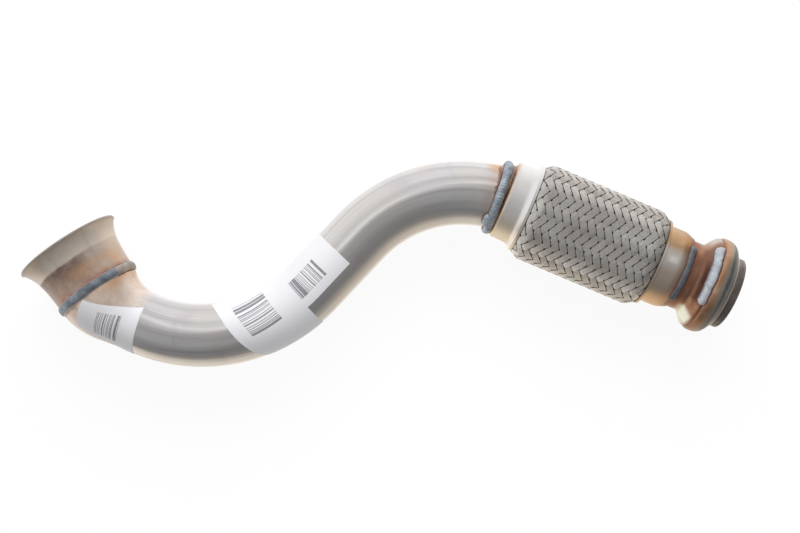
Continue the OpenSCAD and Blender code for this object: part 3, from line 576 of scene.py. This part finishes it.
def weld_metal(name, dark, pale, foot=(0.14, 0.07, 0.04)):
    """Weld bead: clouded oxide, darker between ripples as painted shade, with brown specks and feet of
    another colour.
    """
    s = Shader(name)
    across, ripple = s.split(s.place())[:2]
    speck = s.noise(s.position(), 420, 4, 0.7)
    cloud = s.noise(s.position(), 120, 3, 0.6)
    colour = s.mix(s.span(cloud, 0.3, 0.7), dark, pale)
    # Painted shade between the ripples
    colour = s.mix(s.span(ripple, 0.2, 0.95, 0.35, 0), colour, dark)
    colour = s.mix(s.times(s.span(speck, 0.58, 0.75), 0.5), colour, BROWN)
    colour = s.mix(s.span(s.math("ABSOLUTE", across), 0.74, 0.95, 0, 0.9), colour, foot)
    normal = s.bump(speck, 0.0004, 0.5)
    return s.finish(colour, s.span(speck, 0.3, 0.7, 0.38, 0.6), normal, metallic=0.8)


def outlet_tube_steel():
    """Outlet tube: brown heat scale, redder beside the rear stitches, with pale patches on the bell."""
    s = Shader("outlet_tube_steel")
    place, along, side = s.round_place()
    cloud = s.noise(s.position(), 60, 5, 0.62, 0.8)
    lines = s.turned_lines(place, 1500)
    colour = s.mix(s.span(cloud, 0.35, 0.65), (0.40, 0.22, 0.14), (0.30, 0.15, 0.09))
    rear = (REAR_END_X + REAR_BEAD_W / 2) * MM
    colour = s.mix(s.span(along, rear, rear + 0.004, 0.8, 0), colour, BROWN_RED)
    bell = BELL_REAR_X * MM
    inner = s.times(s.span(along, bell - 0.002, bell + 0.001), s.span(side, 0.75, 0.9, 1, 0),
                    s.span(side, -0.62, -0.5))
    colour = s.mix(inner, colour, BROWN)
    high = s.times(s.span(side, 0.86, 0.95), s.span(along, bell + 0.002, bell + 0.006))
    colour = s.mix(high, colour, (0.50, 0.45, 0.38))
    low = s.times(s.span(side, -0.76, -0.88), s.span(along, bell - 0.005, bell + 0.001),
                  s.span(along, bell + 0.0105, bell + 0.007))
    colour = s.mix(s.times(low, s.span(cloud, 0.35, 0.5, 0.5, 1)), colour, (0.70, 0.68, 0.55))
    normal = s.bump(cloud, 0.0004, 0.2, s.bump(lines, 0.00004, 0.5))
    return s.finish(colour, s.span(cloud, 0.3, 0.7, 0.30, 0.42), normal)


def flange_steel():
    """Outlet flange: rust-orange film, then a greenish and a slate band, and a bright front edge."""
    s = Shader("outlet_flange_steel")
    place, along, side = s.round_place()
    cloud = s.noise(s.position(), 42, 5, 0.62, 0.8)
    patch = s.noise(s.position(), 85, 4, 0.6, 0.5)
    lines = s.turned_lines(place, 1500)
    near = s.frayed(along, cloud, 0.004)
    front = FLANGE_FRONT_X * MM
    colour = s.mix(s.span(patch, 0.4, 0.65), RUST, (0.56, 0.36, 0.24))
    colour = s.mix(s.span(near, front - 0.0120, front - 0.0090), colour, (0.44, 0.39, 0.31))
    colour = s.mix(s.span(near, front - 0.0085, front - 0.0068), colour, (0.20, 0.22, 0.24))
    colour = s.mix(s.span(along, front - 0.0026, front - 0.0012), colour, (0.66, 0.62, 0.58))
    colour = s.mix(s.times(s.span(patch, 0.6, 0.7), 0.5), colour, STRAW)
    # Painted shade: darker towards the side away from the light
    colour = s.mix(s.span(side, -0.1, -0.8, 0, 0.5), colour, (0.16, 0.11, 0.08))
    rear = FLANGE_REAR_X * MM
    colour = s.mix(s.span(near, rear + 0.001, rear + 0.003, 0.6, 0), colour, BROWN)
    normal = s.bump(cloud, 0.0004, 0.2, s.bump(lines, 0.00004, 0.5))
    return s.finish(colour, s.span(patch, 0.3, 0.7, 0.30, 0.42), normal)


def ring_steel():
    """Dark turned ring with fine lathe lines."""
    s = Shader("ring_steel")
    place = s.place()
    lines = s.turned_lines(place, 2600, 6)
    cloud = s.noise(s.position(), 60, 3, 0.6)
    colour = s.mix(s.span(cloud, 0.35, 0.7), (0.13, 0.11, 0.10), (0.24, 0.20, 0.18))
    colour = s.mix(s.span(lines, 0.52, 0.66, 0, 0.6), colour, (0.42, 0.38, 0.35))
    return s.finish(colour, 0.45, s.bump(lines, 0.0001, 0.8), metallic=0.85)


def braid_wire():
    """Woven wire: warm grey, with painted shade between wires, at the plaits' edges and where they dive."""
    s = Shader("braid_wire")
    place = s.place()
    across, over = s.split(place)[:2]
    cloud = s.noise(s.position(), 45, 3, 0.6)
    speck = s.noise(s.position(), 600, 2, 0.6)
    colour = s.mix(s.span(cloud, 0.35, 0.65), (0.80, 0.77, 0.73), (0.66, 0.63, 0.60))
    colour = s.mix(s.times(s.span(speck, 0.5, 0.72), 0.4), colour, (0.42, 0.39, 0.36))
    # Painted shade in the grooves between wires, at the plaits' edges and where a plait dives under the
    # others
    wire = s.math("ABSOLUTE", s.math("SINE", s.math("MULTIPLY", across, math.pi * WIRES / 2 / PLAIT_HALF)))
    colour = s.mix(s.span(wire, 0.65, 1.0, 0, 0.6), colour, PAINTED_SHADE)
    outward = s.math("ABSOLUTE", across)
    colour = s.mix(s.span(outward, PLAIT_HALF - 0.10, PLAIT_HALF - 0.01, 0, 0.45), colour, PAINTED_SHADE)
    colour = s.mix(s.span(over, -0.2, -0.9, 0, 0.4), colour, PAINTED_SHADE)
    # Painted shade: dark dots where four plaits meet, for the shadowed holes of the weave
    corner = s.times(s.span(outward, PLAIT_HALF - 0.28, PLAIT_HALF - 0.10),
                     s.span(s.math("ABSOLUTE", over), 0.55, 0.15))
    colour = s.mix(corner, colour, (0.02, 0.02, 0.02))
    return s.finish(colour, s.span(speck, 0.3, 0.7, 0.30, 0.45))


def plain_strip():
    """Cold-rolled strip inside the coupling, with faint soot."""
    s = Shader("strip_steel")
    cloud = s.noise(s.position(), 50, 4, 0.6)
    fine = s.noise(s.position(), 500, 2, 0.5)
    colour = s.mix(s.span(cloud, 0.3, 0.7), STEEL_DIM, (0.30, 0.28, 0.26))
    return s.finish(colour, s.span(fine, 0.3, 0.7, 0.3, 0.45), s.bump(fine, 0.0001, 0.3))


def paper(name, bars):
    """Label paper, a little glossy, with one row of plain bars that run round the pipe. Bars with a
    negative count run along it."""
    mid_x, mid_y, size_x, size_y, count = bars
    s = Shader(name)
    x, y = s.split(s.place())[:2]
    fibre = s.noise(s.position(), 900, 3, 0.6)
    crease = s.noise(s.position(), 45, 3, 0.5, 0.4)
    counted, size = (x, size_x) if count > 0 else (y, size_y)
    cell = s.math("FLOOR", s.math("MULTIPLY", counted, 2 * abs(count) / size))
    random = s.node("ShaderNodeTexWhiteNoise", noise_dimensions="1D")
    s.link(cell, random.inputs["W"])
    bar = s.math("GREATER_THAN", random.outputs["Value"], 0.42)
    ink = s.times(bar, s.math("LESS_THAN", s.away(x, mid_x), size_x / 2),
                  s.math("LESS_THAN", s.away(y, mid_y), size_y / 2))
    colour = s.mix(s.span(fibre, 0.3, 0.7), PAPER, (0.79, 0.79, 0.82))
    colour = s.mix(s.times(ink, s.span(fibre, 0.2, 0.8, 0.9, 0.7)), colour, INK)
    normal = s.bump(crease, 0.0008, 0.25)
    return s.finish(colour, s.span(fibre, 0.3, 0.7, 0.36, 0.46), normal, metallic=0.0)


# Pieces

def make_pipe(material):
    t = np.linspace(0, PATH_LEN, 260)
    sides = 96
    around = np.arange(sides + 1) * 360 / sides
    t_rows = np.concatenate([t, t[::-1]])
    r_rows = np.concatenate([pipe_radius(t), pipe_radius(t[::-1]) - PIPE_WALL])
    points = round_path(t_rows[:, None], r_rows[:, None], around[None, :-1])
    uv = np.stack(np.broadcast_arrays(around[None, :], np.append(t_rows, t_rows[0])[:, None]), -1)
    build("bent_pipe_skin", points, material, "inlet_side", closed=(True, True), uv=uv,
          replaces=("bent_pipe",), slot="pipe_steel")


def cup_radius(share):
    return MOUTH_R + CUP_TAPER * share + CUP_FLARE * share ** 4


def make_cup(material):
    shares = np.linspace(0, 1, 36)
    outer = [(CUP_LEN * q, cup_radius(q)) for q in shares]
    rim_r = cup_radius(1) - CUP_WALL / 2
    rim = [(CUP_LEN + RIM_T / 2 * math.sin(a), rim_r + RIM_T / 2 * math.cos(a))
           for a in np.radians(np.arange(-20, 201, 20))]
    inner = [(CUP_LEN * q, cup_radius(q) - CUP_WALL) for q in shares[::-1] if q > CUP_BORE / CUP_LEN]
    bore = [(CUP_BORE, MOUTH_R - CUP_WALL), (0, MOUTH_R - CUP_WALL)]
    turned("inlet_cup_skin", outer[:-1] + rim + inner[1:] + bore, material, "inlet_side",
           matrix=inlet_frame(), sides=160, replaces=("inlet_cup",), slot="cup_steel", sharp=60)


def front_collar_profile(depth):
    """The collar's outline at a depth under its outer face: lip, flare, shoulder and neck."""
    neck_r = PIPE_R + NECK_GAP + COLLAR_WALL
    flare_x = FRONT_LIP_X - LIP_W + depth
    shoulder_x = FRONT_END_X + FRONT_NECK
    mouth, drop = FRONT_MOUTH_R - FRONT_BARREL_R, FRONT_SHOULDER_R - neck_r
    flare = [(flare_x - (FRONT_FLARE + depth) * q, FRONT_BARREL_R + mouth * (1 - q) ** 2)
             for q in np.linspace(0, 1, 7)]
    shoulder = [(shoulder_x - FRONT_NECK * 0.9 * q, FRONT_SHOULDER_R - drop * smooth_step(q))
                for q in np.linspace(0, 1, 9)]
    neck = [(FRONT_END_X - NECK_REACH, neck_r)]
    return [(FRONT_LIP_X, LIP_R - depth), (flare_x, LIP_R - depth)] + [
        (x, r - depth) for x, r in flare + shoulder + neck]


def rear_shoulder(share):
    """[x, radius] on the rear collar's shoulder, from 0 on its barrel to 1 at its neck."""
    neck_r = TUBE_R + SEAT_GAP + COLLAR_WALL
    x = REAR_END_X - REAR_NECK - REAR_SHOULDER * (1 - share)
    return x, neck_r + (REAR_BARREL_R - neck_r) * math.cos(math.pi / 2 * share)


def rear_collar_profile(depth):
    lip = [(REAR_LIP_X, LIP_R), (REAR_LIP_X + LIP_W - depth / 2, LIP_R)]
    barrel = [(REAR_LIP_X + LIP_W + COLLAR_WALL, REAR_BARREL_R)]
    shoulder = [rear_shoulder(q) for q in np.linspace(0, 1, 13)]
    neck = [(REAR_END_X, shoulder[-1][1])]
    return [(x, r - depth) for x, r in lip + barrel + shoulder + neck]


def bell_curve(share):
    """[x, radius] on the bell, from 0 on the tube to 1 where the bell is level again."""
    return BELL_REAR_X + BELL_LEN * BELL_CURVE * share, TUBE_R + (BELL_R - TUBE_R) * smooth_step(share)


def outlet_tube_profile(depth):
    start = [(REAR_END_X - REAR_NECK - TUBE_INSERT, TUBE_R)]
    curve = [bell_curve(q) for q in np.linspace(0, 1, 13)]
    return [(x, r - depth) for x, r in start + curve + [(FLANGE_REAR_X, BELL_R)]]


def flange_profile():
    """The flange's closed outline. Its crown is in shares of its length and of its drop to the nose."""
    crown = [(0.11, 0.04), (0.19, 0.01), (0.27, 0), (0.36, 0.005), (0.46, 0.03), (0.55, 0.07), (0.64, 0.15),
             (0.73, 0.28), (0.82, 0.5), (0.89, 0.72), (0.95, 0.91)]
    nose_r = BORE_R + (SEAL_R - BORE_R) / 2
    front_r = SEAL_R + SEAT_GAP + FLANGE_WALL / 2
    sleeve_x = FLANGE_FRONT_X - FLANGE_LEN * 0.78
    skirt_x = FLANGE_REAR_X + FLANGE_LEN * 0.35
    skirt_r = BELL_R - TUBE_WALL
    return [(FLANGE_REAR_X + SEAT_GAP, FLANGE_EDGE_R)] + [
        (FLANGE_REAR_X + FLANGE_LEN * a, FLANGE_R - (FLANGE_R - front_r) * b) for a, b in crown
    ] + [
        (FLANGE_FRONT_X, front_r), (FLANGE_FRONT_X, nose_r), (0, nose_r), (0, BORE_R), (sleeve_x, BORE_R),
        (sleeve_x, BORE_R + FLANGE_WALL), (FLANGE_FRONT_X - FLANGE_WALL, BORE_R + FLANGE_WALL),
        (skirt_x, skirt_r), (FLANGE_REAR_X + SEAT_GAP, skirt_r)
    ]


def seal_profile():
    inner_r = BORE_R + (SEAL_R - BORE_R) / 2 + SEAT_GAP
    chamfer = 0.6
    return [(FLANGE_FRONT_X, inner_r), (FLANGE_FRONT_X, SEAL_R), (-chamfer, SEAL_R), (0, SEAL_R - chamfer),
            (0, inner_r)]


def braid_radius(x):
    """The braid's outer radius: swelling from both lips, and diving under them at its very ends."""
    swell = np.clip(np.minimum(x - FRONT_LIP_X - FLEX_GAP, REAR_LIP_X - FLEX_GAP - x) / SWELL_LEN, 0, 1)
    r = BRAID_END_R + (BRAID_R - BRAID_END_R) * np.sin(np.pi / 2 * swell)
    tuck = np.clip(np.maximum(FRONT_LIP_X + FLEX_GAP - x, x - REAR_LIP_X + FLEX_GAP), 0, 1)
    return r - tuck * PLAIT_TUCK


def plait_family(name, family, material):
    """All plaits that run one way; family is 1 or -1. A plait's points lie at half repeats i along the
    braid and half plaits j round it. It runs over the others where crossing is near 3.5 of every 4, and
    under them half a period on, or the reverse."""
    stations = 3 * 2 * REPEATS + 5
    x = np.linspace(FRONT_LIP_X - PLAIT_REACH, REAR_LIP_X + PLAIT_REACH, stations)
    length = BRAID_LEN - 2 * FLEX_GAP
    i = (x - FRONT_LIP_X - FLEX_GAP) / length * 2 * REPEATS
    across, height = plait_section()
    grids, places = [], []
    for k in range(1, 2 * PLAITS, 2):
        j = family * i[:, None] + across[None, :] + k
        # Lines of equal height run along the other family's plaits
        crossing = family * i[:, None] + k + across[None, :] / 2
        wave = np.clip(1.5 * np.cos(2 * np.pi * (crossing - 3.5) / 4), -1, 1) * family
        r = braid_radius(x)[:, None] - PLAIT_DEPTH + PLAIT_RISE * wave + height[None, :]
        grids.append(round_axis(x[:, None] + 0 * j, r, 180 / PLAITS * j + WEAVE_TURN))
        places.append(np.stack([across[None, :] + 0 * wave, wave], -1))
    return join_grids(name, grids, places, material)


def plait_section():
    """The plait's outline: a share of its half spacing across, and the height over its middle. The top
    has one ridge a wire, and the bottom is flat."""
    across, height = [], []
    for w in range(WIRES):
        for part, rise in ((0.0, 0.0), (0.28, 0.9), (0.72, 0.9)):
            across.append(-PLAIT_HALF + 2 * PLAIT_HALF * (w + part) / WIRES)
            height.append(PLAIT_T / 2 - WIRE_H + WIRE_H * rise)
    across += [PLAIT_HALF, PLAIT_HALF, -PLAIT_HALF]
    height += [PLAIT_T / 2 - WIRE_H, -PLAIT_T / 2, -PLAIT_T / 2]
    return np.array(across), np.array(height)


def join_grids(name, grids, places, material):
    """One object from grids of equal size, each closed across and capped at its ends. places gives the
    surface coordinates of every point."""
    rows, cols = grids[0].shape[:2]
    quads = grid_faces(rows, cols, (False, True))[2]
    faces = []
    for n in range(len(grids)):
        base = n * rows * cols
        faces += (quads + base).tolist()
        faces.append(list(range(base + cols - 1, base - 1, -1)))
        faces.append(list(range(base + (rows - 1) * cols, base + rows * cols)))
    mesh = bpy.data.meshes.new(name)
    mesh.from_pydata(lying(np.array(grids)).tolist(), [], faces)
    place = np.array(places).reshape(-1, 2)
    corner = np.empty(len(mesh.loops), np.int32)
    mesh.loops.foreach_get("vertex_index", corner)
    mesh.uv_layers.new(name="place").data.foreach_set("uv", place[corner].reshape(-1).astype(np.float32))
    return add_smooth(name, mesh, material, 60)


def make_braid(material):
    for name, family in (("braid_plaits_left", 1), ("braid_plaits_right", -1)):
        piece = plait_family(name, family, material)
        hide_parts("braid")
        flex(piece)


def bead(name, radius, width, height, arc, middle, material, body, matrix=None, lean=0.0, seed=1.0,
         replaces=(), place_x=0.0):
    """A weld bead round a cylinder about X: an arc of it, or all of it for 360. Its ripples are
    crescents. Its surface coordinates are the share across it and the height of the ripple."""
    step, ripple, bow, sink, foot_depth = 0.45, 2.1, 0.55, 0.12, 0.35
    full = arc >= 360
    length = math.radians(arc) * radius
    count = int(length / step)
    share = np.linspace(0, 1, count + 1)
    if full:
        share = share[:-1]
    across = np.linspace(-1, 1, 15)
    run = share * length
    swell = np.ones_like(share)
    if not full:
        # Round ends
        dome = width / 2 / length
        short = np.clip(1 - np.minimum(share, 1 - share) / dome, 0, 1)
        swell = np.sqrt(np.clip(1 - short ** 2, 0.0004, 1))
    turns = 2 * np.pi * run / length if full else run / 6
    uneven_w = 1 + 0.10 * wobble(turns * (3 if full else 1), seed)
    uneven_h = 1 + 0.12 * wobble(turns * (4 if full else 1.3), seed + 5)
    drift = 0.35 * wobble(turns * (2 if full else 0.8), seed + 9)
    # Each ripple rises over three quarters of its length and falls over the last
    cycles = round(length / ripple)
    crescent = (share[:, None] * cycles - bow * (1 - across[None, :] ** 2)) % 1.0
    ridge = np.where(crescent < 0.75, crescent / 0.75, (1 - crescent) / 0.25)
    w = width / 2 * uneven_w * swell
    h = height * uneven_h * swell
    dome_h = np.sqrt(np.clip(1 - across[None, :] ** 2, 0, 1))
    rise = h[:, None] * dome_h * (1 + 0.10 * (ridge - 0.5)) - sink
    side = across[None, :] * w[:, None] + drift[:, None]
    tip = math.radians(lean)
    along = place_x + side * math.cos(tip) + rise * math.sin(tip)
    r = radius - side * math.sin(tip) + rise * math.cos(tip)
    around = middle - arc / 2 + share * arc
    top = round_axis(along, r, around[:, None])
    feet = side[:, [-1, 0]]
    base = round_axis(place_x + feet * math.cos(tip) * 0.9, radius - feet * math.sin(tip) - foot_depth,
                      around[:, None])
    points = np.concatenate([top, base], 1)
    if matrix is not None:
        points = placed(points, matrix)
    edge = np.concatenate([across, [1.1, -1.1, -1]])
    uv = np.stack([edge[None, :] + np.zeros((count + 1, 1)), np.zeros((count + 1, len(edge)))], -1)
    uv[:len(ridge), :len(across), 1] = ridge
    uv[-1] = uv[0]
    build(name, points, material, body, closed=(full, True), uv=uv / MM, replaces=replaces,
          slot="weld_metal")


def label(node, corners, material, lift):
    """A paper label wrapped round the pipe, at a lift over it."""
    rows, cols = 40, 60
    p = np.linspace(0, 1, rows)[:, None, None]
    q = np.linspace(0, 1, cols)[None, :, None]
    a, b, c, d = np.array(corners, float)
    t_grid, a_grid = np.moveaxis((a * (1 - p) + b * p) * (1 - q) + (d * (1 - p) + c * p) * q, 2, 0)
    outer = round_path(t_grid, pipe_radius(t_grid) + lift, a_grid)
    inner = round_path(t_grid, pipe_radius(t_grid) + lift - LABEL_T, a_grid)
    points = np.concatenate([outer, inner[::-1]], 0)
    surface = np.stack(np.broadcast_arrays(p[..., 0], q[..., 0]), -1) / MM
    uv = np.concatenate([surface, surface[::-1], surface[:1]], 0)
    build(f"{node}_sheet", points, material, "inlet_side", closed=(True, False), uv=uv, replaces=(node,),
          slot="label_paper")


def copy_flexing(node, name, material):
    """A construction solid as a piece of its own, with its transform baked into its mesh."""
    piece = add_object(name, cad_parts[node].data.copy())
    piece.data.materials.clear()
    piece.data.materials.append(material)
    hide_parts(node)
    flex(piece)


def dress(node, material):
    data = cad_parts[node].data
    data.materials.clear()
    data.materials.append(material)


def make_turned():
    front = shell(front_collar_profile(0), front_collar_profile(COLLAR_WALL))
    turned("front_collar_skin", refined(front), front_collar_steel(), "inlet_side",
           replaces=("front_collar",), slot="collar_steel", sharp=30)
    rear = shell(rear_collar_profile(0), rear_collar_profile(COLLAR_WALL))
    turned("rear_collar_skin", refined(rear), rear_collar_steel(), "outlet_side",
           replaces=("rear_collar",), slot="collar_steel", sharp=30)
    tube = shell(outlet_tube_profile(0), outlet_tube_profile(TUBE_WALL))
    turned("outlet_tube_skin", refined(tube), outlet_tube_steel(), "outlet_side",
           replaces=("outlet_tube",), slot="outlet_steel", sharp=30)
    turned("outlet_flange_skin", refined(flange_profile()), flange_steel(), "outlet_side",
           replaces=("outlet_flange",), slot="outlet_steel", sharp=35)
    turned("seal_ring_skin", refined(seal_profile(), 0.6), ring_steel(), "outlet_side",
           replaces=("seal_ring",), slot="ring_steel", sharp=30)


def make_coupling():
    make_braid(braid_wire())
    strip = plain_strip()
    copy_flexing("liner", "liner_strip", strip)
    copy_flexing("bellows", "bellows_wall", strip)
    dress("front_inner_ring", strip)
    dress("rear_inner_ring", strip)


def make_ring_beads():
    """The two beads that run all the way round, each with its restart."""
    blue = weld_metal("weld_blue", (0.26, 0.30, 0.35), (0.54, 0.60, 0.66))
    slate = weld_metal("weld_inlet", (0.15, 0.17, 0.20), (0.32, 0.36, 0.41), (0.62, 0.57, 0.52))
    taupe = weld_metal("weld_taupe", (0.30, 0.26, 0.23), (0.52, 0.46, 0.41))
    width, height = BEAD_W * INLET_BEAD_WIDER, INLET_BEAD_H * INLET_BEAD_HIGHER
    bead("inlet_weld_bead", MOUTH_R, width, height, 360, 0, slate, "inlet_side", matrix=inlet_frame(),
         seed=1.0, replaces=("inlet_weld",), place_x=INLET_BEAD_SHIFT)
    width, arc, middle, shift = INLET_RESTART
    height = INLET_BEAD_H * RESTART_HIGHER
    bead("inlet_weld_restart", MOUTH_R, width, height, arc, middle, taupe, "inlet_side",
         matrix=inlet_frame(), seed=2.0, place_x=shift)
    bead("front_weld_bead", PIPE_R, BEAD_W * FRONT_BEAD_WIDER, FRONT_BEAD_H, 360, 0, blue, "inlet_side",
         matrix=bead_frame(), seed=3.0, replaces=("front_weld",))
    width, arc, middle, shift = FRONT_RESTART
    height = FRONT_BEAD_H * RESTART_HIGHER
    bead("front_weld_restart", PIPE_R, width, height, arc, middle, blue, "inlet_side", matrix=bead_frame(),
         seed=4.0, place_x=shift)


def rear_bead_feet():
    """[x, radius] of the rear bead's two edges: on the collar's shoulder and on the tube."""
    x, r = rear_shoulder(4 / 6)
    return (x, r), (x + REAR_BEAD_W, TUBE_R)


def flange_bead_feet():
    """[x, radius] of the flange bead's two edges: on the bell and behind the flange's crown."""
    return bell_curve(0.6), tuple(np.mean(flange_profile()[:2], 0))


def stitch(node, feet, height, arc, middle, material, seed):
    """A stitch of weld between two [x, radius] edges."""
    (x0, r0), (x1, r1) = feet
    width = math.hypot(x1 - x0, r1 - r0) * STITCH_WIDER
    lean = -math.degrees(math.atan2(r1 - r0, x1 - x0))
    bead(f"{node}_bead", (r0 + r1) / 2, width, height, arc, middle, material, "outlet_side", lean=lean,
         seed=seed, replaces=(node,), place_x=(x0 + x1) / 2)


def make_stitches():
    """Four stitches, in opposite pairs."""
    dark = weld_metal("weld_dark", (0.14, 0.15, 0.18), (0.28, 0.30, 0.33))
    pale = weld_metal("weld_pale", (0.46, 0.49, 0.54), (0.66, 0.69, 0.74))
    rear, flange = rear_bead_feet(), flange_bead_feet()
    for part, turn in (("upper", 0), ("lower", 180)):
        stitch(f"rear_weld_{part}", rear, REAR_STITCH_H, REAR_ARC, turn + REAR_TURN, dark, 5 + turn)
        stitch(f"flange_weld_{part}", flange, FLANGE_BEAD_H, FLANGE_ARC, turn + FLANGE_TURN, pale, 7 + turn)


def make_labels():
    """Three labels. The upper one lies over the lower one's edge, so it is lifted more."""
    for node, corners, bars, lift in (
            ("inlet_label", INLET_LABEL, INLET_BARS, LABEL_LIFT),
            ("lower_label", LOWER_LABEL, LOWER_BARS, LABEL_LIFT),
            ("upper_label", UPPER_LABEL, UPPER_BARS, LABEL_LIFT + 0.05)):
        label(node, corners, paper(f"{node}_paper", bars), lift)


# Stage, light and camera

def image_axes():
    """The photograph's rightward and upward directions in the row frame."""
    turn = math.radians(VIEW_TURN)
    right = LYING @ Vector((math.cos(turn), math.sin(turn), 0))
    up = LYING @ Vector((-math.sin(turn), math.cos(turn), 0))
    return right, up


def add_camera():
    right, up = image_axes()
    middle = LYING @ Vector((FLEX_MID_X, 0, 0))
    above = LYING @ Vector((0, 0, 1))
    offset = right * (IMAGE_W / 2 - MID_PX[0]) - up * (IMAGE_H / 2 - MID_PX[1])
    data = bpy.data.cameras.new("camera")
    data.sensor_width = 36
    data.lens = data.sensor_width * VIEW_HEIGHT_PX / IMAGE_W
    data.clip_end = 10
    camera = add_object("camera", data)
    camera.matrix_world = Matrix.Translation(
        (middle + (offset + above * VIEW_HEIGHT_PX) * MM_PER_PX) * MM
    ) @ Matrix((right, up, above)).transposed().to_4x4()
    bpy.context.scene.camera = camera


def add_floor():
    """A pale floor, which shows the camera its shadows on a nearly white glow."""
    s = Shader("floor_pale")
    rays = s.node("ShaderNodeLightPath")
    seen = s.math("MAXIMUM", rays.outputs["Is Camera Ray"],
                  s.math("MAXIMUM", rays.outputs["Is Glossy Ray"], rays.outputs["Is Transmission Ray"]))
    grain = s.noise(s.position(), 40, 2)
    colour = s.mix(s.span(grain, 0.3, 0.7), (0.80, 0.79, 0.78), (0.82, 0.81, 0.80))
    s.finish(colour, 0.9, metallic=0.0)
    s.bsdf.inputs["Specular IOR Level"].default_value = 0.0
    shown = s.node("ShaderNodeBsdfDiffuse")
    shown.inputs["Color"].default_value = (FLOOR_SHADE, FLOOR_SHADE, FLOOR_SHADE, 1)
    glow = s.node("ShaderNodeEmission")
    glow.inputs["Color"].default_value = (1, 1, 1, 1)
    glow.inputs["Strength"].default_value = FLOOR_GLOW
    lit = s.node("ShaderNodeAddShader")
    s.link(shown.outputs[0], lit.inputs[0])
    s.link(glow.outputs[0], lit.inputs[1])
    s.link(s.choose(seen, s.bsdf.outputs[0], lit.outputs[0]), s.surface)
    low, reach = CAD_BOX[0][2], FLOOR_REACH
    mesh = bpy.data.meshes.new("floor")
    corners = [(-reach, -reach, low), (reach, -reach, low), (reach, reach, low), (-reach, reach, low)]
    mesh.from_pydata(corners, [], [(0, 1, 2, 3)])
    mesh.materials.append(s.material)
    floor = add_object("floor", mesh)
    floor.visible_glossy = False


def warm_grey(level, warmth):
    return level, level * (1 - 0.08 * warmth), level * (1 - 0.20 * warmth)


def add_world():
    """A white room. Mirrors see a pale softbox over one side and a darker side wall over the other."""
    world = bpy.data.worlds.new("studio")
    bpy.context.scene.world = world
    s = Nodes(world)
    right, up = image_axes()
    direction = s.node("ShaderNodeTexCoord").outputs["Generated"]
    toward = s.node("ShaderNodeVectorMath", operation="DOT_PRODUCT")
    s.link(direction, toward.inputs[0])
    toward.inputs[1].default_value = (up - right).normalized()
    # The angle from straight up towards the photograph's upper left, as a share of a turn round 0.5
    angle = s.math("ARCTAN2", toward.outputs["Value"], s.split(direction)["Z"])
    share = s.math("ADD", s.math("DIVIDE", angle, 2 * math.pi), 0.5)
    # Each stop is an angle in degrees, a level and a warmth from 0 to 1
    stops = [(-170, 0.98, 1), (-157, 0.97, 1), (-128, 0.78, 1), (-110, 0.63, 1), (-95, 0.44, 0.9),
             (-81, 0.31, 0.3), (-70, 0.25, 0.1), (-59, 0.25, 0), (-48, 0.26, 0), (-38, 0.30, 0),
             (-28, 0.36, 0), (-9, 0.41, 0), (4, 0.46, 0), (12, 0.60, 0), (18, 0.84, 0), (22, 1.08, 0),
             (27, 0.84, 0), (40, 0.80, 0), (50, 1.0, 0), (95, 1.04, 0), (110, 1.0, 0), (128, 1.15, 0),
             (157, 1.25, 0)]
    room = s.ramp(share, [(turn / 360 + 0.5, warm_grey(level, warmth)) for turn, level, warmth in stops])
    mirror = s.node("ShaderNodeBackground")
    s.link(room, mirror.inputs["Color"])
    plain = s.node("ShaderNodeBackground")
    plain.inputs["Color"].default_value = (1, 1, 1, 1)
    plain.inputs["Strength"].default_value = ROOM_LEVEL
    white = s.node("ShaderNodeBackground")
    white.inputs["Color"].default_value = (1, 1, 1, 1)
    rays = s.node("ShaderNodeLightPath").outputs
    unseen = s.choose(rays["Is Glossy Ray"], plain.outputs[0], mirror.outputs[0])
    out = s.node("ShaderNodeOutputWorld")
    s.link(s.choose(rays["Is Camera Ray"], unseen, white.outputs[0]), out.inputs["Surface"])


def add_lamp():
    """One large soft lamp from the photograph's top, for soft shading and a faint shadow."""
    up = image_axes()[1]
    data = bpy.data.lights.new("softbox", "AREA")
    data.shape = "RECTANGLE"
    data.size, data.size_y = LAMP_LEN, LAMP_W
    data.energy = LAMP_WATTS
    lamp = add_object("softbox", data)
    lamp.visible_glossy = False
    place = PART_MIDDLE + up * LAMP_ASIDE + Vector((0, 0, LAMP_HEIGHT))
    lamp.location = place
    lamp.rotation_euler = (PART_MIDDLE - place).to_track_quat("-Z", "Y").to_euler()


add_camera()
add_world()
add_lamp()
add_floor()
make_pipe(pipe_steel())
make_cup(cup_steel())
make_turned()
make_coupling()
make_ring_beads()
make_stitches()
make_labels()
bpy.context.scene.view_settings.view_transform = "Standard"
